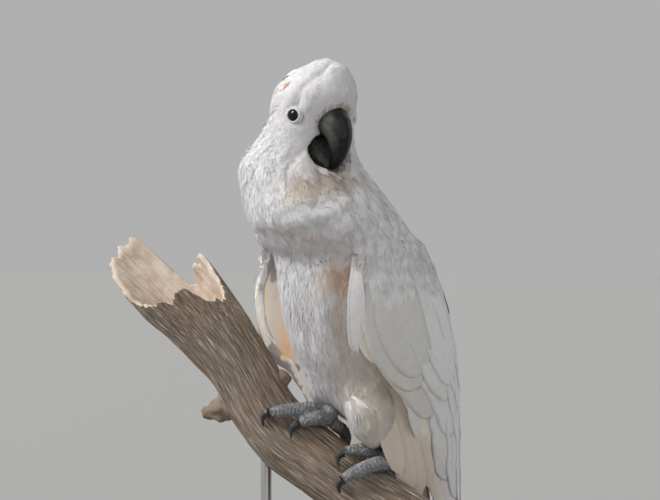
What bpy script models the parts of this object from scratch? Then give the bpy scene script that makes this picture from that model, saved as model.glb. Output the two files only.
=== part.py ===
"""Salmon-crested cockatoo on a cut length of branch, as a life-size display model.

Run with: blender --background --python part.py
Frame: +Z up, millimetres below are turned into metres by MM. The bird's body faces -Y, its own
left is +X, and its head is turned to its left. The origin is the middle of the stand's underside.
"""
import math

import bmesh
import bpy
from mathutils import Matrix, Vector

MM = 0.001
GAP = 0.3                     # clearance between pieces that touch
WELD = 0.01                   # points closer than this are one

# Head: its middle in plan, and the way that it faces, turned from -Y towards +X.
HEAD_X = 0.0
HEAD_Y = -48.0
HEAD_YAW = 76.0
HEAD_NECK_Z = 429.5           # parting of head and neck at the head's middle
NECK_TRUNK_Z = 350.0
HEAD_TILT = 14.0              # slope of that parting, down towards the bill
BODY_SIDES = 24
BODY_RINGS = 30

# Eyes
EYE_RADIUS = 6.9
EYE_SIDE = 26.0
EYE_FORWARD = 10.0
EYE_Z = 453.0
SPHERE_SIDES = 12             # facets of the eyes and thighs
SPHERE_RINGS = 8

# Perch: a bent length of branch in an upright plane turned PERCH_YAW from +X
PERCH_YAW = 18.0
PERCH_X = 4.7
PERCH_Y = 3.7
PERCH_SIDES = 17
PERCH_RINGS = 14
PERCH_READINGS = 120          # readings of its axis, when a place along it is looked up
BROKEN_WALL = 8.0             # wall left round the hollow of the broken end
HOLLOW_DEPTH = 42.0           # its floor lies this far inside the end of the axis
HOLLOW_FOLLOW = 0.1           # and follows the rim by this share of the rim's height
HOLLOW_MIDDLE = 0.35          # width of the floor's flat middle as a share of the perch's
RIM_STEP = 3.0                # the rim's inner edge stands this much lower than its outer one
TWIG_SIDES = 10
TWIG_SHARES = (0.2, 0.62, 1.0)    # places of a side twig's rings along its reach
TWIG_TAPER = 0.85             # thickness of its middle ring as a share of its foot

# Stand
BASE_RADIUS = 130.0
BASE_HEIGHT = 18.0
BASE_EDGE = 3.0
ROD_RADIUS = 4.5
ROD_SOCKET = 14.0             # how far a rod goes into the perch
ROD_ALONG = (-80.0, 34.0)     # places of the rods along the perch's plane
ROD_HOLE_START = 10.0         # cuts for the rods begin this far over the base
ROD_SIDES = 12
BASE_SIDES = 36

# Body sections, bottom to top: height, middle x, middle y, half-width, half-length to the front,
# half-length to the back, and the section's own turn in degrees.
BODY = (
    (190.0, 0.0, 48.0, 10.0, 12.0, 12.0, 0.0),
    (200.0, 0.0, 43.0, 28.0, 31.0, 32.0, 0.0),
    (226.0, 0.0, 26.0, 41.0, 46.0, 54.0, 0.0),
    (255.0, 0.0, 13.0, 52.0, 56.0, 64.0, 0.0),
    (300.0, 0.0, 1.0, 58.0, 60.0, 67.0, 0.0),
    (338.0, 0.0, -3.0, 60.0, 62.0, 57.0, 0.0),
    (356.0, 0.0, -18.0, 65.0, 67.0, 64.0, 5.0),
    (373.0, -2.0, -33.0, 63.0, 64.0, 63.0, 10.0),
    (386.0, -8.0, -36.0, 60.5, 60.0, 61.0, 20.0),
    (399.0, -13.0, -40.0, 56.0, 53.0, 60.0, 35.0),
    (412.0, -17.0, -44.0, 52.0, 45.0, 58.0, 50.0),
    (425.0, -10.0, -47.0, 43.0, 33.0, 53.0, 65.0),
    (436.0, -3.0, -48.0, 37.5, 26.0, 47.0, 74.0),
    (447.0, 0.0, -48.0, 35.5, 28.0, 43.0, 76.0),
    (458.0, 0.0, -48.0, 33.5, 33.5, 40.0, 76.0),
    (471.0, 0.0, -47.0, 32.0, 38.0, 38.0, 76.0),
    (484.0, 1.0, -45.5, 27.5, 34.0, 33.0, 76.0),
    (493.0, 2.0, -44.0, 21.0, 26.0, 26.0, 76.0),
    (499.0, 2.0, -43.5, 14.0, 17.5, 17.0, 76.0),
    (501.5, 2.0, -43.5, 8.0, 10.0, 10.0, 76.0),
    (502.4, 2.0, -43.5, 3.0, 3.6, 3.6, 76.0),
)

# Folded wing, bottom to top: height, middle y, half-width, half-depth of its outer face, then the
# angles of its front edge on the left and on the right wing, and of its back edge, from the front.
WING = (
    (62.0, 106.0, 20.0, 12.0, 84.0, 84.0, 124.0),
    (80.0, 101.0, 29.0, 18.0, 76.0, 76.0, 150.0),
    (100.0, 96.0, 38.0, 25.0, 66.0, 66.0, 158.0),
    (146.0, 81.0, 48.0, 37.0, 48.0, 58.0, 168.0),
    (178.0, 63.5, 57.0, 49.0, 51.0, 70.0, 174.0),
    (200.0, 50.0, 64.0, 60.0, 56.0, 84.0, 177.0),
    (218.0, 38.0, 69.0, 69.0, 57.0, 90.0, 177.5),
    (238.0, 28.0, 75.0, 74.0, 49.0, 90.0, 177.5),
    (252.0, 23.0, 77.0, 77.0, 41.0, 88.0, 177.5),
    (268.0, 17.0, 78.0, 77.0, 37.0, 72.0, 177.5),
    (300.0, 7.5, 77.0, 76.0, 36.0, 62.0, 177.0),
    (340.0, -4.0, 71.0, 65.0, 38.0, 60.0, 172.0),
    (360.0, -13.0, 64.0, 60.0, 60.0, 66.0, 162.0),
    (370.0, -26.0, 50.0, 42.0, 90.0, 90.0, 140.0),
)
WING_THICK = 9.0
WING_EDGE = 1.6
WING_FULL_DEPTH = 50.0        # sections less deep than this are thinner in proportion
WING_ROUND = 0.7              # how quickly the thickness grows from either edge
WING_RINGS = 17
WING_STEPS = 10
WING_PUSH_TOP = 346.0         # from this height down the right wing stands off
WING_PUSH_RUN = 36.0
RIGHT_WING_OUT = 8.0          # the right wing hangs this much further from the body

# Tail with its under-tail cover, top to bottom: height, middle y, half-width, half-depth
TAIL = (
    (236.0, 48.0, 30.0, 22.0),
    (205.0, 50.0, 28.0, 18.0),
    (178.0, 56.0, 27.0, 12.0),
    (150.0, 66.0, 29.0, 7.0),
    (110.0, 81.0, 32.0, 4.0),
    (60.0, 97.0, 34.0, 2.6),
    (45.0, 102.0, 32.0, 2.2),
    (40.0, 103.5, 24.0, 1.8),
)
TAIL_RINGS = 12
TAIL_SIDES = 16

# Crest laid back: distance behind the head's middle, height, half-width, half-thickness
CREST = (
    (14.0, 478.0, 9.0, 4.0),
    (30.0, 478.0, 13.0, 8.0),
    (42.0, 459.0, 15.0, 8.0),
    (54.0, 442.0, 15.0, 7.0),
    (70.0, 429.0, 12.0, 5.0),
    (84.0, 422.0, 8.0, 3.0),
    (92.0, 419.0, 3.0, 1.4),
)
CREST_RINGS = 12
CREST_SIDES = 12

# Upper bill: distance before the head's middle, height, half-height, half-width
BILL_UPPER = (
    (10.0, 449.0, 12.5, 12.6),
    (18.0, 450.0, 13.8, 14.0),
    (26.0, 447.5, 13.8, 13.4),
    (32.0, 440.5, 12.0, 11.6),
    (34.5, 431.5, 9.6, 9.4),
    (33.0, 423.0, 7.2, 7.0),
    (29.0, 416.2, 4.9, 4.6),
    (25.0, 411.4, 2.7, 2.3),
    (22.5, 409.6, 0.9, 0.8),
)

# Lower bill: the same measures
BILL_LOWER = (
    (0.0, 435.0, 7.5, 11.0),
    (7.0, 428.5, 8.0, 13.0),
    (14.0, 421.5, 7.2, 12.0),
    (19.0, 415.5, 5.2, 9.2),
    (22.0, 411.6, 2.4, 5.6),
)
BILL_UPPER_RINGS = 12
BILL_UPPER_SIDES = 14
BILL_LOWER_RINGS = 7
BILL_LOWER_SIDES = 14

# Perch, broken end first: place along the plane, height, half-width
PERCH = (
    (-158.0, 311.0, 35.5),
    (-123.5, 275.0, 29.5),
    (-101.0, 246.0, 26.5),
    (-81.0, 213.0, 26.5),
    (-60.0, 189.5, 27.5),
    (-34.0, 170.0, 26.5),
    (-4.0, 149.5, 26.5),
    (44.0, 121.0, 27.0),
    (84.0, 100.0, 27.0),
)

# Broken side twigs: name, place of its root, reach along the plane, rise, foot and tip thickness
STUBS = (
    ("join_knob", -88.0, -54.0, -15.0, 14.0, 3.0),
    ("join_nub", -84.0, 22.0, 25.0, 9.0, 5.0),
)

# Rim of the broken end: angle round the axis from its upper side towards the front, height
BROKEN_RIM = (
    (0.0, -19.0),
    (24.0, -37.0),
    (50.0, -31.0),
    (66.0, -10.0),
    (94.0, -12.0),
    (119.0, -1.0),
    (150.0, 15.0),
    (172.0, 46.0),
    (205.0, 66.0),
    (258.0, 72.0),
    (270.0, 5.0),
    (289.0, 9.0),
    (343.0, 9.0),
)

# Toes of a foot: along-perch start and end, angle round the perch start and end, half-thickness
# start and end. Angles count from the perch's upper side towards the bird's front.
TOES_RIGHT = {
    "outer_front": (-12.0, -30.0, 8.0, 68.0, 7.0, 5.6),
    "inner_front": (-2.0, -12.0, 14.0, 48.0, 7.0, 5.6),
    "outer_back": (-5.0, -15.0, -8.0, -62.0, 6.2, 5.0),
    "inner_back": (6.0, 14.0, -10.0, -56.0, 5.8, 4.8),
}
TOES_LEFT = {
    "outer_front": (-2.0, -16.0, 16.0, 72.0, 7.0, 5.6),
    "inner_front": (-9.0, -28.0, -6.0, 38.0, 7.0, 5.6),
    "outer_back": (5.0, 14.0, -4.0, -40.0, 6.2, 5.0),
    "inner_back": (-4.0, -12.0, -12.0, -60.0, 5.8, 4.8),
}
FOOT_ALONG = {"right": -44.0, "left": 10.0}
FOOT_ROOT_ANGLE = 6.0         # where the toes meet, round the perch from its upper side
FOOT_ROOT_LIFT = 8.0          # height of that place over the perch
TOE_START = 0.2               # a toe starts this share of the way from there to its own line
TOE_STEPS = 5
TOE_ARCH = 1.6                # rise of a toe's middle over the perch
TOE_LIFT = 0.9                # clearance under a toe
TOE_SIDES = 8
CLAW_SWEEP = 24.0             # degrees of the perch that a claw reaches past its toe
CLAW_HOOK = 1.4               # how far a claw turns back from its toe's drift along the perch
CLAW_TIP = 0.7
CLAW_STEPS = 4
CLAW_ROOT = 0.86              # thickness of a claw's root as a share of its toe's end
CLAW_TAPER = 0.75
CLAW_ARCH = 1.2
CLAW_LIFT = 0.8               # clearance under a claw
CLAW_SIDES = 6
CLAW_STEP_OFF = 1.2           # gap between a toe's rounded end and its claw

# Thigh: half-width, half-length and height of its egg, and the middle of each
THIGH_SIZE = (24.0, 27.0, 35.0)
THIGH_AT = {"right": (-23.0, 4.0, 240.0), "left": (25.0, -1.0, 212.0)}
SHANK_THICK = (7.6, 5.4)      # at the toes' root and at the knee
SHANK_STEPS = 6
SHANK_SIDES = 10
HEEL_UP = 20.0                # the heel stands this high over the toes' root
HEEL_BACK = 8.0               # and this far behind it
KNEE_BACK = 4.0               # the knee lies this far behind the thigh's middle
KNEE_SOCKET = 4.0             # cuts for a shank reach this many gaps past its end


def clear_scene():
    """Remove what a new Blender file starts with."""
    for old in list(bpy.data.objects):
        bpy.data.objects.remove(old, do_unlink=True)


def make_collection(name):
    """Return a new collection linked to the scene."""
    group = bpy.data.collections.new(name)
    bpy.context.scene.collection.children.link(group)
    return group


def make_material(name, colour, roughness, metallic=0.0):
    """Return a Principled material of one colour."""
    material = bpy.data.materials.new(name)
    material.use_nodes = True
    shader = material.node_tree.nodes["Principled BSDF"]
    shader.inputs["Base Color"].default_value = (*colour, 1.0)
    shader.inputs["Roughness"].default_value = roughness
    shader.inputs["Metallic"].default_value = metallic
    return material


def smooth_track(rows, count, in_plane=False):
    """Read count rows from a smooth curve through the given rows.

    They are even along the first column, or along the path of the first two where in_plane is set.
    """
    points = [Vector(row[:2]) if in_plane else Vector((row[0], 0.0)) for row in rows]
    along = [0.0]
    for before, after in zip(points, points[1:]):
        along.append(along[-1] + (after - before).length)
    result = []
    for step in range(count):
        target = along[-1] * step / (count - 1)
        span = max(i for i in range(len(rows) - 1) if along[i] <= target + 1e-9)
        local = (target - along[span]) / (along[span + 1] - along[span])
        result.append(hermite_row(rows, along, span, local))
    return result


def hermite_row(rows, along, span, local):
    """Blend two rows with slopes limited, so that the curve never swings past its rows."""
    length = along[span + 1] - along[span]
    values = []
    for column in range(len(rows[0])):
        slopes = []
        for index in (span, span + 1):
            slopes.append(limited_slope(rows, along, index, column))
        start = rows[span][column]
        end = rows[span + 1][column]
        square = local * local
        cube = square * local
        values.append(start * (2 * cube - 3 * square + 1) + end * (3 * square - 2 * cube)
                      + length * slopes[0] * (cube - 2 * square + local)
                      + length * slopes[1] * (cube - square))
    return values


def limited_slope(rows, along, index, column):
    """Slope of one column at a row: the harmonic mean of its neighbours, or zero at a turn."""
    last = len(rows) - 1

    def chord(first):
        return (rows[first + 1][column] - rows[first][column]) / (along[first + 1] - along[first])

    if index == 0:
        return chord(0)
    if index == last:
        return chord(last - 1)
    before = chord(index - 1)
    after = chord(index)
    if before * after <= 0.0:
        return 0.0
    return 2.0 * before * after / (before + after)


def close_end(work, ring, crescent):
    """Close an end ring: a crescent across its width, any other ring from its middle."""
    count = len(ring)
    if crescent:
        for i in range(count // 2 - 1):
            work.faces.new((ring[i], ring[i + 1], ring[count - 2 - i], ring[count - 1 - i]))
        return
    middle = work.verts.new(sum((vert.co for vert in ring), Vector()) / count)
    for i in range(count):
        work.faces.new((ring[i], ring[(i + 1) % count], middle))


def loft(name, rings, material, group, crescent=False):
    """Join rings of equal point counts, in millimetres, into one closed body."""
    mesh = bpy.data.meshes.new(name)
    work = bmesh.new()
    loops = []
    for ring in rings:
        loops.append([work.verts.new(Vector(point) * MM) for point in ring])
    count = len(loops[0])
    for low, high in zip(loops, loops[1:]):
        for i in range(count):
            j = (i + 1) % count
            work.faces.new((low[i], low[j], high[j], high[i]))
    for end in (loops[0], loops[-1]):
        close_end(work, end, crescent)
    bmesh.ops.triangulate(work, faces=work.faces)
    bmesh.ops.recalc_face_normals(work, faces=work.faces)
    if work.calc_volume(signed=True) < 0.0:
        bmesh.ops.reverse_faces(work, faces=work.faces)
    work.to_mesh(mesh)
    work.free()
    mesh.shade_smooth()
    made = bpy.data.objects.new(name, mesh)
    if material is not None:
        mesh.materials.append(material)
    group.objects.link(made)
    return made


def as_cutter(made):
    """Mark an object as a tool that is not part of the model."""
    made.hide_render = True
    made.display_type = "WIRE"
    return made


def add_boolean(target, tool, operation):
    """Cut or join target with tool, keeping the exact solver."""
    modifier = target.modifiers.new(operation.lower() + "_" + tool.name, "BOOLEAN")
    modifier.operation = operation
    modifier.object = tool
    modifier.solver = "EXACT"


def facing(yaw):
    """Forward and left directions in plan of a thing turned by yaw degrees from -Y towards +X."""
    turn = math.radians(yaw)
    forward = Vector((math.sin(turn), -math.cos(turn), 0.0))
    left = Vector((math.cos(turn), math.sin(turn), 0.0))
    return forward, left


def head_point(forward_mm, left_mm, height):
    """A point given in the head's own directions."""
    forward, left = facing(HEAD_YAW)
    return Vector((HEAD_X, HEAD_Y, height)) + forward * forward_mm + left * left_mm


def egg_ring(row, grow):
    """One level section of the body, longer to the front or the back as its row says."""
    height, x, y, width, front, back, yaw = row
    forward, left = facing(yaw)
    ring = []
    for i in range(BODY_SIDES):
        angle = 2.0 * math.pi * i / BODY_SIDES
        length = front if math.sin(angle) > 0.0 else back
        ring.append(Vector((x, y, height))
                    + left * ((width + grow) * math.cos(angle))
                    + forward * ((length + grow) * math.sin(angle)))
    return ring


def body_loft(name, grow, material, group):
    """Head, neck and trunk in one body, grown outward by grow."""
    rows = smooth_track(BODY, BODY_RINGS)
    rings = [egg_ring(row, grow) for row in rows]
    if grow:
        for point in rings[0]:
            point.z -= grow
        for point in rings[-1]:
            point.z += grow
    return loft(name, rings, material, group)


def keep_slab(made, point, normal, side):
    """Keep the part of a mesh on one side of a plane, closed by a flat face."""
    work = bmesh.new()
    work.from_mesh(made.data)
    offset = Vector(point) * MM + Vector(normal) * (side * GAP * 0.5 * MM)
    bmesh.ops.bisect_plane(work, geom=work.verts[:] + work.edges[:] + work.faces[:],
                           plane_co=offset, plane_no=Vector(normal) * side, clear_inner=True)
    rim = [edge for edge in work.edges if edge.is_boundary]
    bmesh.ops.contextual_create(work, geom=rim)
    bmesh.ops.recalc_face_normals(work, faces=work.faces)
    work.to_mesh(made.data)
    work.free()


def make_flesh(plumage, parts, tools):
    """Head, neck and trunk, parted by two thin cuts, and a grown copy to cut neighbours with."""
    forward, _ = facing(HEAD_YAW)
    tilt = math.radians(HEAD_TILT)
    head_up = Vector((0.0, 0.0, math.cos(tilt))) + forward * math.sin(tilt)
    head_cut = (HEAD_X, HEAD_Y, HEAD_NECK_Z)
    level = Vector((0.0, 0.0, 1.0))
    trunk_cut = (0.0, 0.0, NECK_TRUNK_Z)
    head = body_loft("head", 0.0, plumage, parts)
    keep_slab(head, head_cut, head_up, 1.0)
    neck = body_loft("neck", 0.0, plumage, parts)
    keep_slab(neck, head_cut, head_up, -1.0)
    keep_slab(neck, trunk_cut, level, 1.0)
    trunk = body_loft("trunk", 0.0, plumage, parts)
    keep_slab(trunk, trunk_cut, level, -1.0)
    grown = as_cutter(body_loft("cut_body", GAP, None, tools))
    return head, neck, trunk, grown


def sagittal_loft(name, rows, direction, grow, sides, material, group):
    """A body along a curve in the head's middle plane, from half-heights and half-widths."""
    _, left = facing(HEAD_YAW)
    centres = [head_point(direction * row[0], 0.0, row[1]) for row in rows]
    rings = []
    last = len(rows) - 1
    for i, row in enumerate(rows):
        along = (centres[min(i + 1, last)] - centres[max(i - 1, 0)]).normalized()
        over = left.cross(along).normalized()
        centre = centres[i]
        if grow and i in (0, last):
            centre = centre + along * (grow if i else -grow)
        ring = []
        for k in range(sides):
            angle = 2.0 * math.pi * k / sides
            ring.append(centre + over * ((row[2] + grow) * math.sin(angle))
                        + left * ((row[3] + grow) * math.cos(angle)))
        rings.append(ring)
    return loft(name, rings, material, group)


def make_crest(plumage, parts, grown_body):
    """The long crest feathers, folded back over the crown and standing off the nape."""
    rows = [(row[0], row[1], row[3], row[2]) for row in CREST]
    track = smooth_track(rows, CREST_RINGS, in_plane=True)
    crest = sagittal_loft("crest", track, -1.0, 0.0, CREST_SIDES, plumage, parts)
    add_boolean(crest, grown_body, "DIFFERENCE")


def make_bill(horn, parts, tools, head, neck):
    """Both halves of the bill, rooted in the head, and the sockets that hold them."""
    upper_rows = smooth_track(BILL_UPPER, BILL_UPPER_RINGS, in_plane=True)
    lower_rows = smooth_track(BILL_LOWER, BILL_LOWER_RINGS, in_plane=True)

    def upper_half(name, grow, material, group):
        return sagittal_loft(name, upper_rows, 1.0, grow, BILL_UPPER_SIDES, material, group)

    def lower_half(name, grow, material, group):
        return sagittal_loft(name, lower_rows, 1.0, grow, BILL_LOWER_SIDES, material, group)

    upper_half("beak_upper", 0.0, horn, parts)
    lower = lower_half("beak_lower", 0.0, horn, parts)
    add_boolean(lower, as_cutter(upper_half("cut_beak_upper", GAP, None, tools)), "DIFFERENCE")
    socket = as_cutter(upper_half("cut_socket", GAP, None, tools))
    add_boolean(socket, as_cutter(lower_half("cut_beak_lower", GAP, None, tools)), "UNION")
    for flesh in (head, neck):
        add_boolean(flesh, socket, "DIFFERENCE")


def add_sphere(name, radius, centre, material, group):
    """A round body from Blender's own sphere."""
    mesh = bpy.data.meshes.new(name)
    work = bmesh.new()
    bmesh.ops.create_uvsphere(work, u_segments=SPHERE_SIDES, v_segments=SPHERE_RINGS,
                              radius=radius * MM)
    work.to_mesh(mesh)
    work.free()
    mesh.shade_smooth()
    made = bpy.data.objects.new(name, mesh)
    made.location = centre * MM
    if material is not None:
        mesh.materials.append(material)
    group.objects.link(made)
    return made


def make_eyes(eye, parts, tools, head):
    """Both eyes, each in a socket of the head."""
    for side, sign in (("left", 1.0), ("right", -1.0)):
        centre = head_point(EYE_FORWARD, sign * EYE_SIDE, EYE_Z)
        add_sphere("eye_" + side, EYE_RADIUS, centre, eye, parts)
        socket = add_sphere("cut_eye_" + side, EYE_RADIUS + GAP, centre, None, tools)
        add_boolean(head, as_cutter(socket), "DIFFERENCE")


def wing_ring(row, sign, push):
    """One level section of a folded wing: a crescent from its front edge to its back edge."""
    height, y, width, depth, front_left, front_right, back = row
    front = front_left if sign > 0.0 else front_right
    outer = []
    inner = []
    for step in range(WING_STEPS):
        share = step / (WING_STEPS - 1)
        angle = math.radians(front + (back - front) * share)
        bulge = math.sin(math.pi * share) ** WING_ROUND * min(1.0, depth / WING_FULL_DEPTH)
        thick = WING_EDGE + (WING_THICK - WING_EDGE) * bulge
        out = push * (1.0 - share) * min(1.0, max(0.0, (WING_PUSH_TOP - height) / WING_PUSH_RUN))
        outer.append(Vector((sign * (width + out) * math.sin(angle),
                             y - (depth + out) * math.cos(angle), height)))
        inner.append(Vector((sign * (width + out - thick) * math.sin(angle),
                             y - (depth + out - thick) * math.cos(angle), height)))
    return outer + inner[::-1]


def make_wings(plumage, parts, grown_body, grown_tail):
    """Both folded wings, from the shoulders to the tips over the tail."""
    rows = smooth_track(WING, WING_RINGS)
    for side, sign, push in (("left", 1.0, 0.0), ("right", -1.0, RIGHT_WING_OUT)):
        rings = [wing_ring(row, sign, push) for row in rows]
        wing = loft("wing_" + side, rings, plumage, parts, crescent=True)
        for tool in (grown_body, grown_tail):
            add_boolean(wing, tool, "DIFFERENCE")


def make_tail(plumage, parts, tools, grown_body):
    """The tail with its under-tail cover, and a grown copy to cut neighbours with."""
    made = []
    for name, grow in (("tail", 0.0), ("cut_tail", GAP)):
        rings = []
        for height, y, width, depth in smooth_track(TAIL, TAIL_RINGS):
            ring = []
            for k in range(TAIL_SIDES):
                angle = 2.0 * math.pi * k / TAIL_SIDES
                ring.append(Vector(((width + grow) * math.cos(angle),
                                    y + (depth + grow) * math.sin(angle), height)))
            rings.append(ring)
        made.append(loft(name, rings, plumage if not grow else None, tools if grow else parts))
    add_boolean(made[0], grown_body, "DIFFERENCE")
    return as_cutter(made[1])


def perch_directions(run, rise):
    """Directions along, across upward and to the front of the perch where its axis rises so."""
    turn = math.radians(PERCH_YAW)
    plane = Vector((math.cos(turn), math.sin(turn), 0.0))
    front = Vector((plane.y, -plane.x, 0.0))
    along = (plane * run + Vector((0.0, 0.0, rise))).normalized()
    upper = front.cross(along).normalized()
    if upper.z < 0.0:
        upper = -upper
    return plane, along, upper, front


def perch_frame(before, place, height, radius, after):
    """Centre, directions and half-width of the perch between two neighbouring rows."""
    plane, along, upper, front = perch_directions(after[0] - before[0], after[1] - before[1])
    centre = Vector((PERCH_X, PERCH_Y, height)) + plane * place
    return centre, along, upper, front, radius


def perch_axis(place):
    """The perch's frame at a place along its plane."""
    rows = smooth_track(PERCH, PERCH_READINGS, in_plane=True)
    inner = range(1, PERCH_READINGS - 1)
    index = min(inner, key=lambda i: abs(rows[i][0] - place))
    before, here, after = rows[index - 1], rows[index], rows[index + 1]
    share = (place - here[0]) / (after[0] - before[0])
    height = here[1] + share * (after[1] - before[1])
    return perch_frame(before, place, height, here[2], after)


def perch_bump(angle):
    """Shallow flutes round the perch, as a share of its half-width."""
    return 1.0 + 0.03 * math.sin(3.0 * angle + 0.8) + 0.015 * math.sin(7.0 * angle)


def rim_height(angle):
    """Height of the broken rim at an angle round the axis, in degrees."""
    rows = list(BROKEN_RIM) + [(360.0, BROKEN_RIM[0][1])]
    for before, after in zip(rows, rows[1:]):
        if before[0] <= angle <= after[0]:
            share = (angle - before[0]) / (after[0] - before[0])
            return before[1] + share * (after[1] - before[1])
    return rows[0][1]


def floor_height(angle):
    """Height of the floor of the broken end's hollow at an angle round the axis."""
    return HOLLOW_FOLLOW * rim_height(angle) - HOLLOW_DEPTH


def perch_ring(frame, share, height_at):
    """A ring round the perch's axis, at a share of its width and a height past the frame."""
    centre, along, upper, front, radius = frame
    ring = []
    for k in range(PERCH_SIDES):
        angle = 2.0 * math.pi * k / PERCH_SIDES
        reach = radius * perch_bump(angle) * share
        ring.append(centre - along * height_at(math.degrees(angle))
                    + upper * (reach * math.cos(angle)) + front * (reach * math.sin(angle)))
    return ring


def make_perch(wood, parts, tools):
    """The cut length of branch: broken at its upper end, sawn at its lower end."""
    rows = smooth_track(PERCH, PERCH_RINGS, in_plane=True)
    last = len(rows) - 1
    frames = []
    for i, row in enumerate(rows):
        before = rows[max(i - 1, 0)]
        after = rows[min(i + 1, last)]
        frames.append(perch_frame(before, *row, after))
    end = frames[0]
    inner = (end[4] - BROKEN_WALL) / end[4]
    rings = [
        perch_ring(end, HOLLOW_MIDDLE, floor_height),
        perch_ring(end, inner, floor_height),
        perch_ring(end, inner, lambda angle: rim_height(angle) - RIM_STEP),
        perch_ring(end, 1.0, rim_height),
    ]
    for frame in frames[1:]:
        rings.append(perch_ring(frame, 1.0, lambda angle: 0.0))
    perch = loft("perch", rings, wood, parts)
    for stub in STUBS:
        add_boolean(perch, make_stub(*stub, tools), "UNION")
    return perch


def tapered_tube(name, points, radii, sides, material, group):
    """A tube along points with its own half-thickness at each, as a closed mesh."""
    curve = bpy.data.curves.new(name, "CURVE")
    curve.dimensions = "3D"
    curve.bevel_depth = MM
    curve.bevel_resolution = (sides - 4) // 2
    curve.use_fill_caps = True
    curve.twist_mode = "MINIMUM"
    spline = curve.splines.new("POLY")
    spline.points.add(len(points) - 1)
    for slot, point, radius in zip(spline.points, points, radii):
        slot.co = (*(Vector(point) * MM), 1.0)
        slot.radius = radius
    carrier = bpy.data.objects.new(name + "_curve", curve)
    group.objects.link(carrier)
    bpy.context.view_layer.update()
    shape = carrier.evaluated_get(bpy.context.evaluated_depsgraph_get())
    mesh = bpy.data.meshes.new_from_object(shape)
    bpy.data.objects.remove(carrier, do_unlink=True)
    work = bmesh.new()
    work.from_mesh(mesh)
    bmesh.ops.remove_doubles(work, verts=work.verts, dist=WELD * MM)
    bmesh.ops.recalc_face_normals(work, faces=work.faces)
    work.to_mesh(mesh)
    work.free()
    mesh.name = name
    mesh.materials.clear()
    if material is not None:
        mesh.materials.append(material)
    mesh.shade_smooth()
    made = bpy.data.objects.new(name, mesh)
    group.objects.link(made)
    return made


def make_stub(name, place, sideways, rise, foot, tip, tools):
    """A broken side twig of the perch, from its axis outward."""
    centre, _, _, front, _ = perch_axis(place)
    reach = Vector((-front.y, front.x, 0.0)) * sideways + Vector((0.0, 0.0, rise))
    points = [centre + reach * share for share in TWIG_SHARES]
    radii = (foot, foot * TWIG_TAPER, tip)
    return as_cutter(tapered_tube(name, points, radii, TWIG_SIDES, None, tools))


def on_perch(place, angle, lift):
    """A point over the perch's surface."""
    centre, _, upper, front, radius = perch_axis(place)
    turn = math.radians(angle)
    reach = radius * perch_bump(turn) + lift
    return centre + upper * (reach * math.cos(turn)) + front * (reach * math.sin(turn))


def toe_path(home, toe):
    """Centres and half-thicknesses along a toe that lies on the perch."""
    start, end, angle_start, angle_end, thick_start, thick_end = toe
    points = []
    radii = []
    for step in range(TOE_STEPS + 1):
        share = step / TOE_STEPS
        thick = thick_start + (thick_end - thick_start) * share
        arch = TOE_ARCH * math.sin(math.pi * share)
        place = home + start + (end - start) * share
        angle = angle_start + (angle_end - angle_start) * share
        points.append(on_perch(place, angle, thick + arch + TOE_LIFT))
        radii.append(thick)
    return points, radii


def claw_path(home, toe):
    """Centres and half-thicknesses of the claw that goes on from a toe's end."""
    start, end, angle_start, angle_end, _, thick = toe
    swing = math.copysign(CLAW_SWEEP, angle_end - angle_start)
    along_rate = (end - start) / abs(angle_end - angle_start)
    points = []
    radii = []
    for step in range(CLAW_STEPS + 1):
        share = step / CLAW_STEPS
        radius = max(CLAW_TIP, CLAW_ROOT * thick * (1.0 - share) ** CLAW_TAPER)
        drift = along_rate * CLAW_SWEEP * share * (1.0 - CLAW_HOOK * share)
        place = home + end + drift
        arch = CLAW_ARCH * math.sin(math.pi * share)
        lift = thick + TOE_LIFT + arch - share * (thick - CLAW_TIP)
        points.append(on_perch(place, angle_end + swing * share, max(lift, radius + CLAW_LIFT)))
        radii.append(radius)
    direction = (points[1] - points[0]).normalized()
    points[0] = points[0] + direction * (CLAW_STEP_OFF + GAP)
    return points, radii


def foot_body(name, side, toes, grow, material, group, tools):
    """Shank, heel and four toes of one foot as a single body, grown outward by grow."""
    home = FOOT_ALONG[side]
    root = on_perch(home, FOOT_ROOT_ANGLE, FOOT_ROOT_LIFT)
    heel = root + Vector((0.0, HEEL_BACK, HEEL_UP))
    knee = Vector(THIGH_AT[side]) + Vector((0.0, KNEE_BACK, 0.0))
    points = []
    thick = []
    for step in range(SHANK_STEPS + 1):
        share = step / SHANK_STEPS
        points.append(root * (1.0 - share) ** 2 + heel * (2.0 * share * (1.0 - share))
                      + (heel + knee) * (0.5 * share * share))
        thick.append(SHANK_THICK[0] + (SHANK_THICK[1] - SHANK_THICK[0]) * share + grow)
    if grow:
        points[-1] = points[-1] + (points[-1] - points[-2]).normalized() * (KNEE_SOCKET * grow)
    foot = tapered_tube(name, points, thick, SHANK_SIDES, material, group)
    for toe_name, toe in toes.items():
        path, radii = toe_path(home, toe)
        path.insert(0, root + (path[0] - root) * TOE_START)
        radii.insert(0, radii[0])
        radii = [radius + grow for radius in radii]
        tube_name = "join_" + toe_name + "_" + name
        tube = tapered_tube(tube_name, path, radii, TOE_SIDES, None, tools)
        add_boolean(foot, as_cutter(tube), "UNION")
    return foot


def make_feet(scaly, claw, parts, tools, grown_body):
    """Both feet, a claw on every toe, and grown copies of the feet to cut the thighs with."""
    grown_feet = {}
    for side, toes in (("right", TOES_RIGHT), ("left", TOES_LEFT)):
        foot = foot_body("foot_" + side, side, toes, 0.0, scaly, parts, tools)
        add_boolean(foot, grown_body, "DIFFERENCE")
        grown = foot_body("cut_foot_" + side, side, toes, GAP, None, tools, tools)
        grown_feet[side] = as_cutter(grown)
        for name, toe in toes.items():
            path, radii = claw_path(FOOT_ALONG[side], toe)
            claw_name = "claw_" + name + "_" + side
            tapered_tube(claw_name, path, radii, CLAW_SIDES, claw, parts)
    return grown_feet


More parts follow.
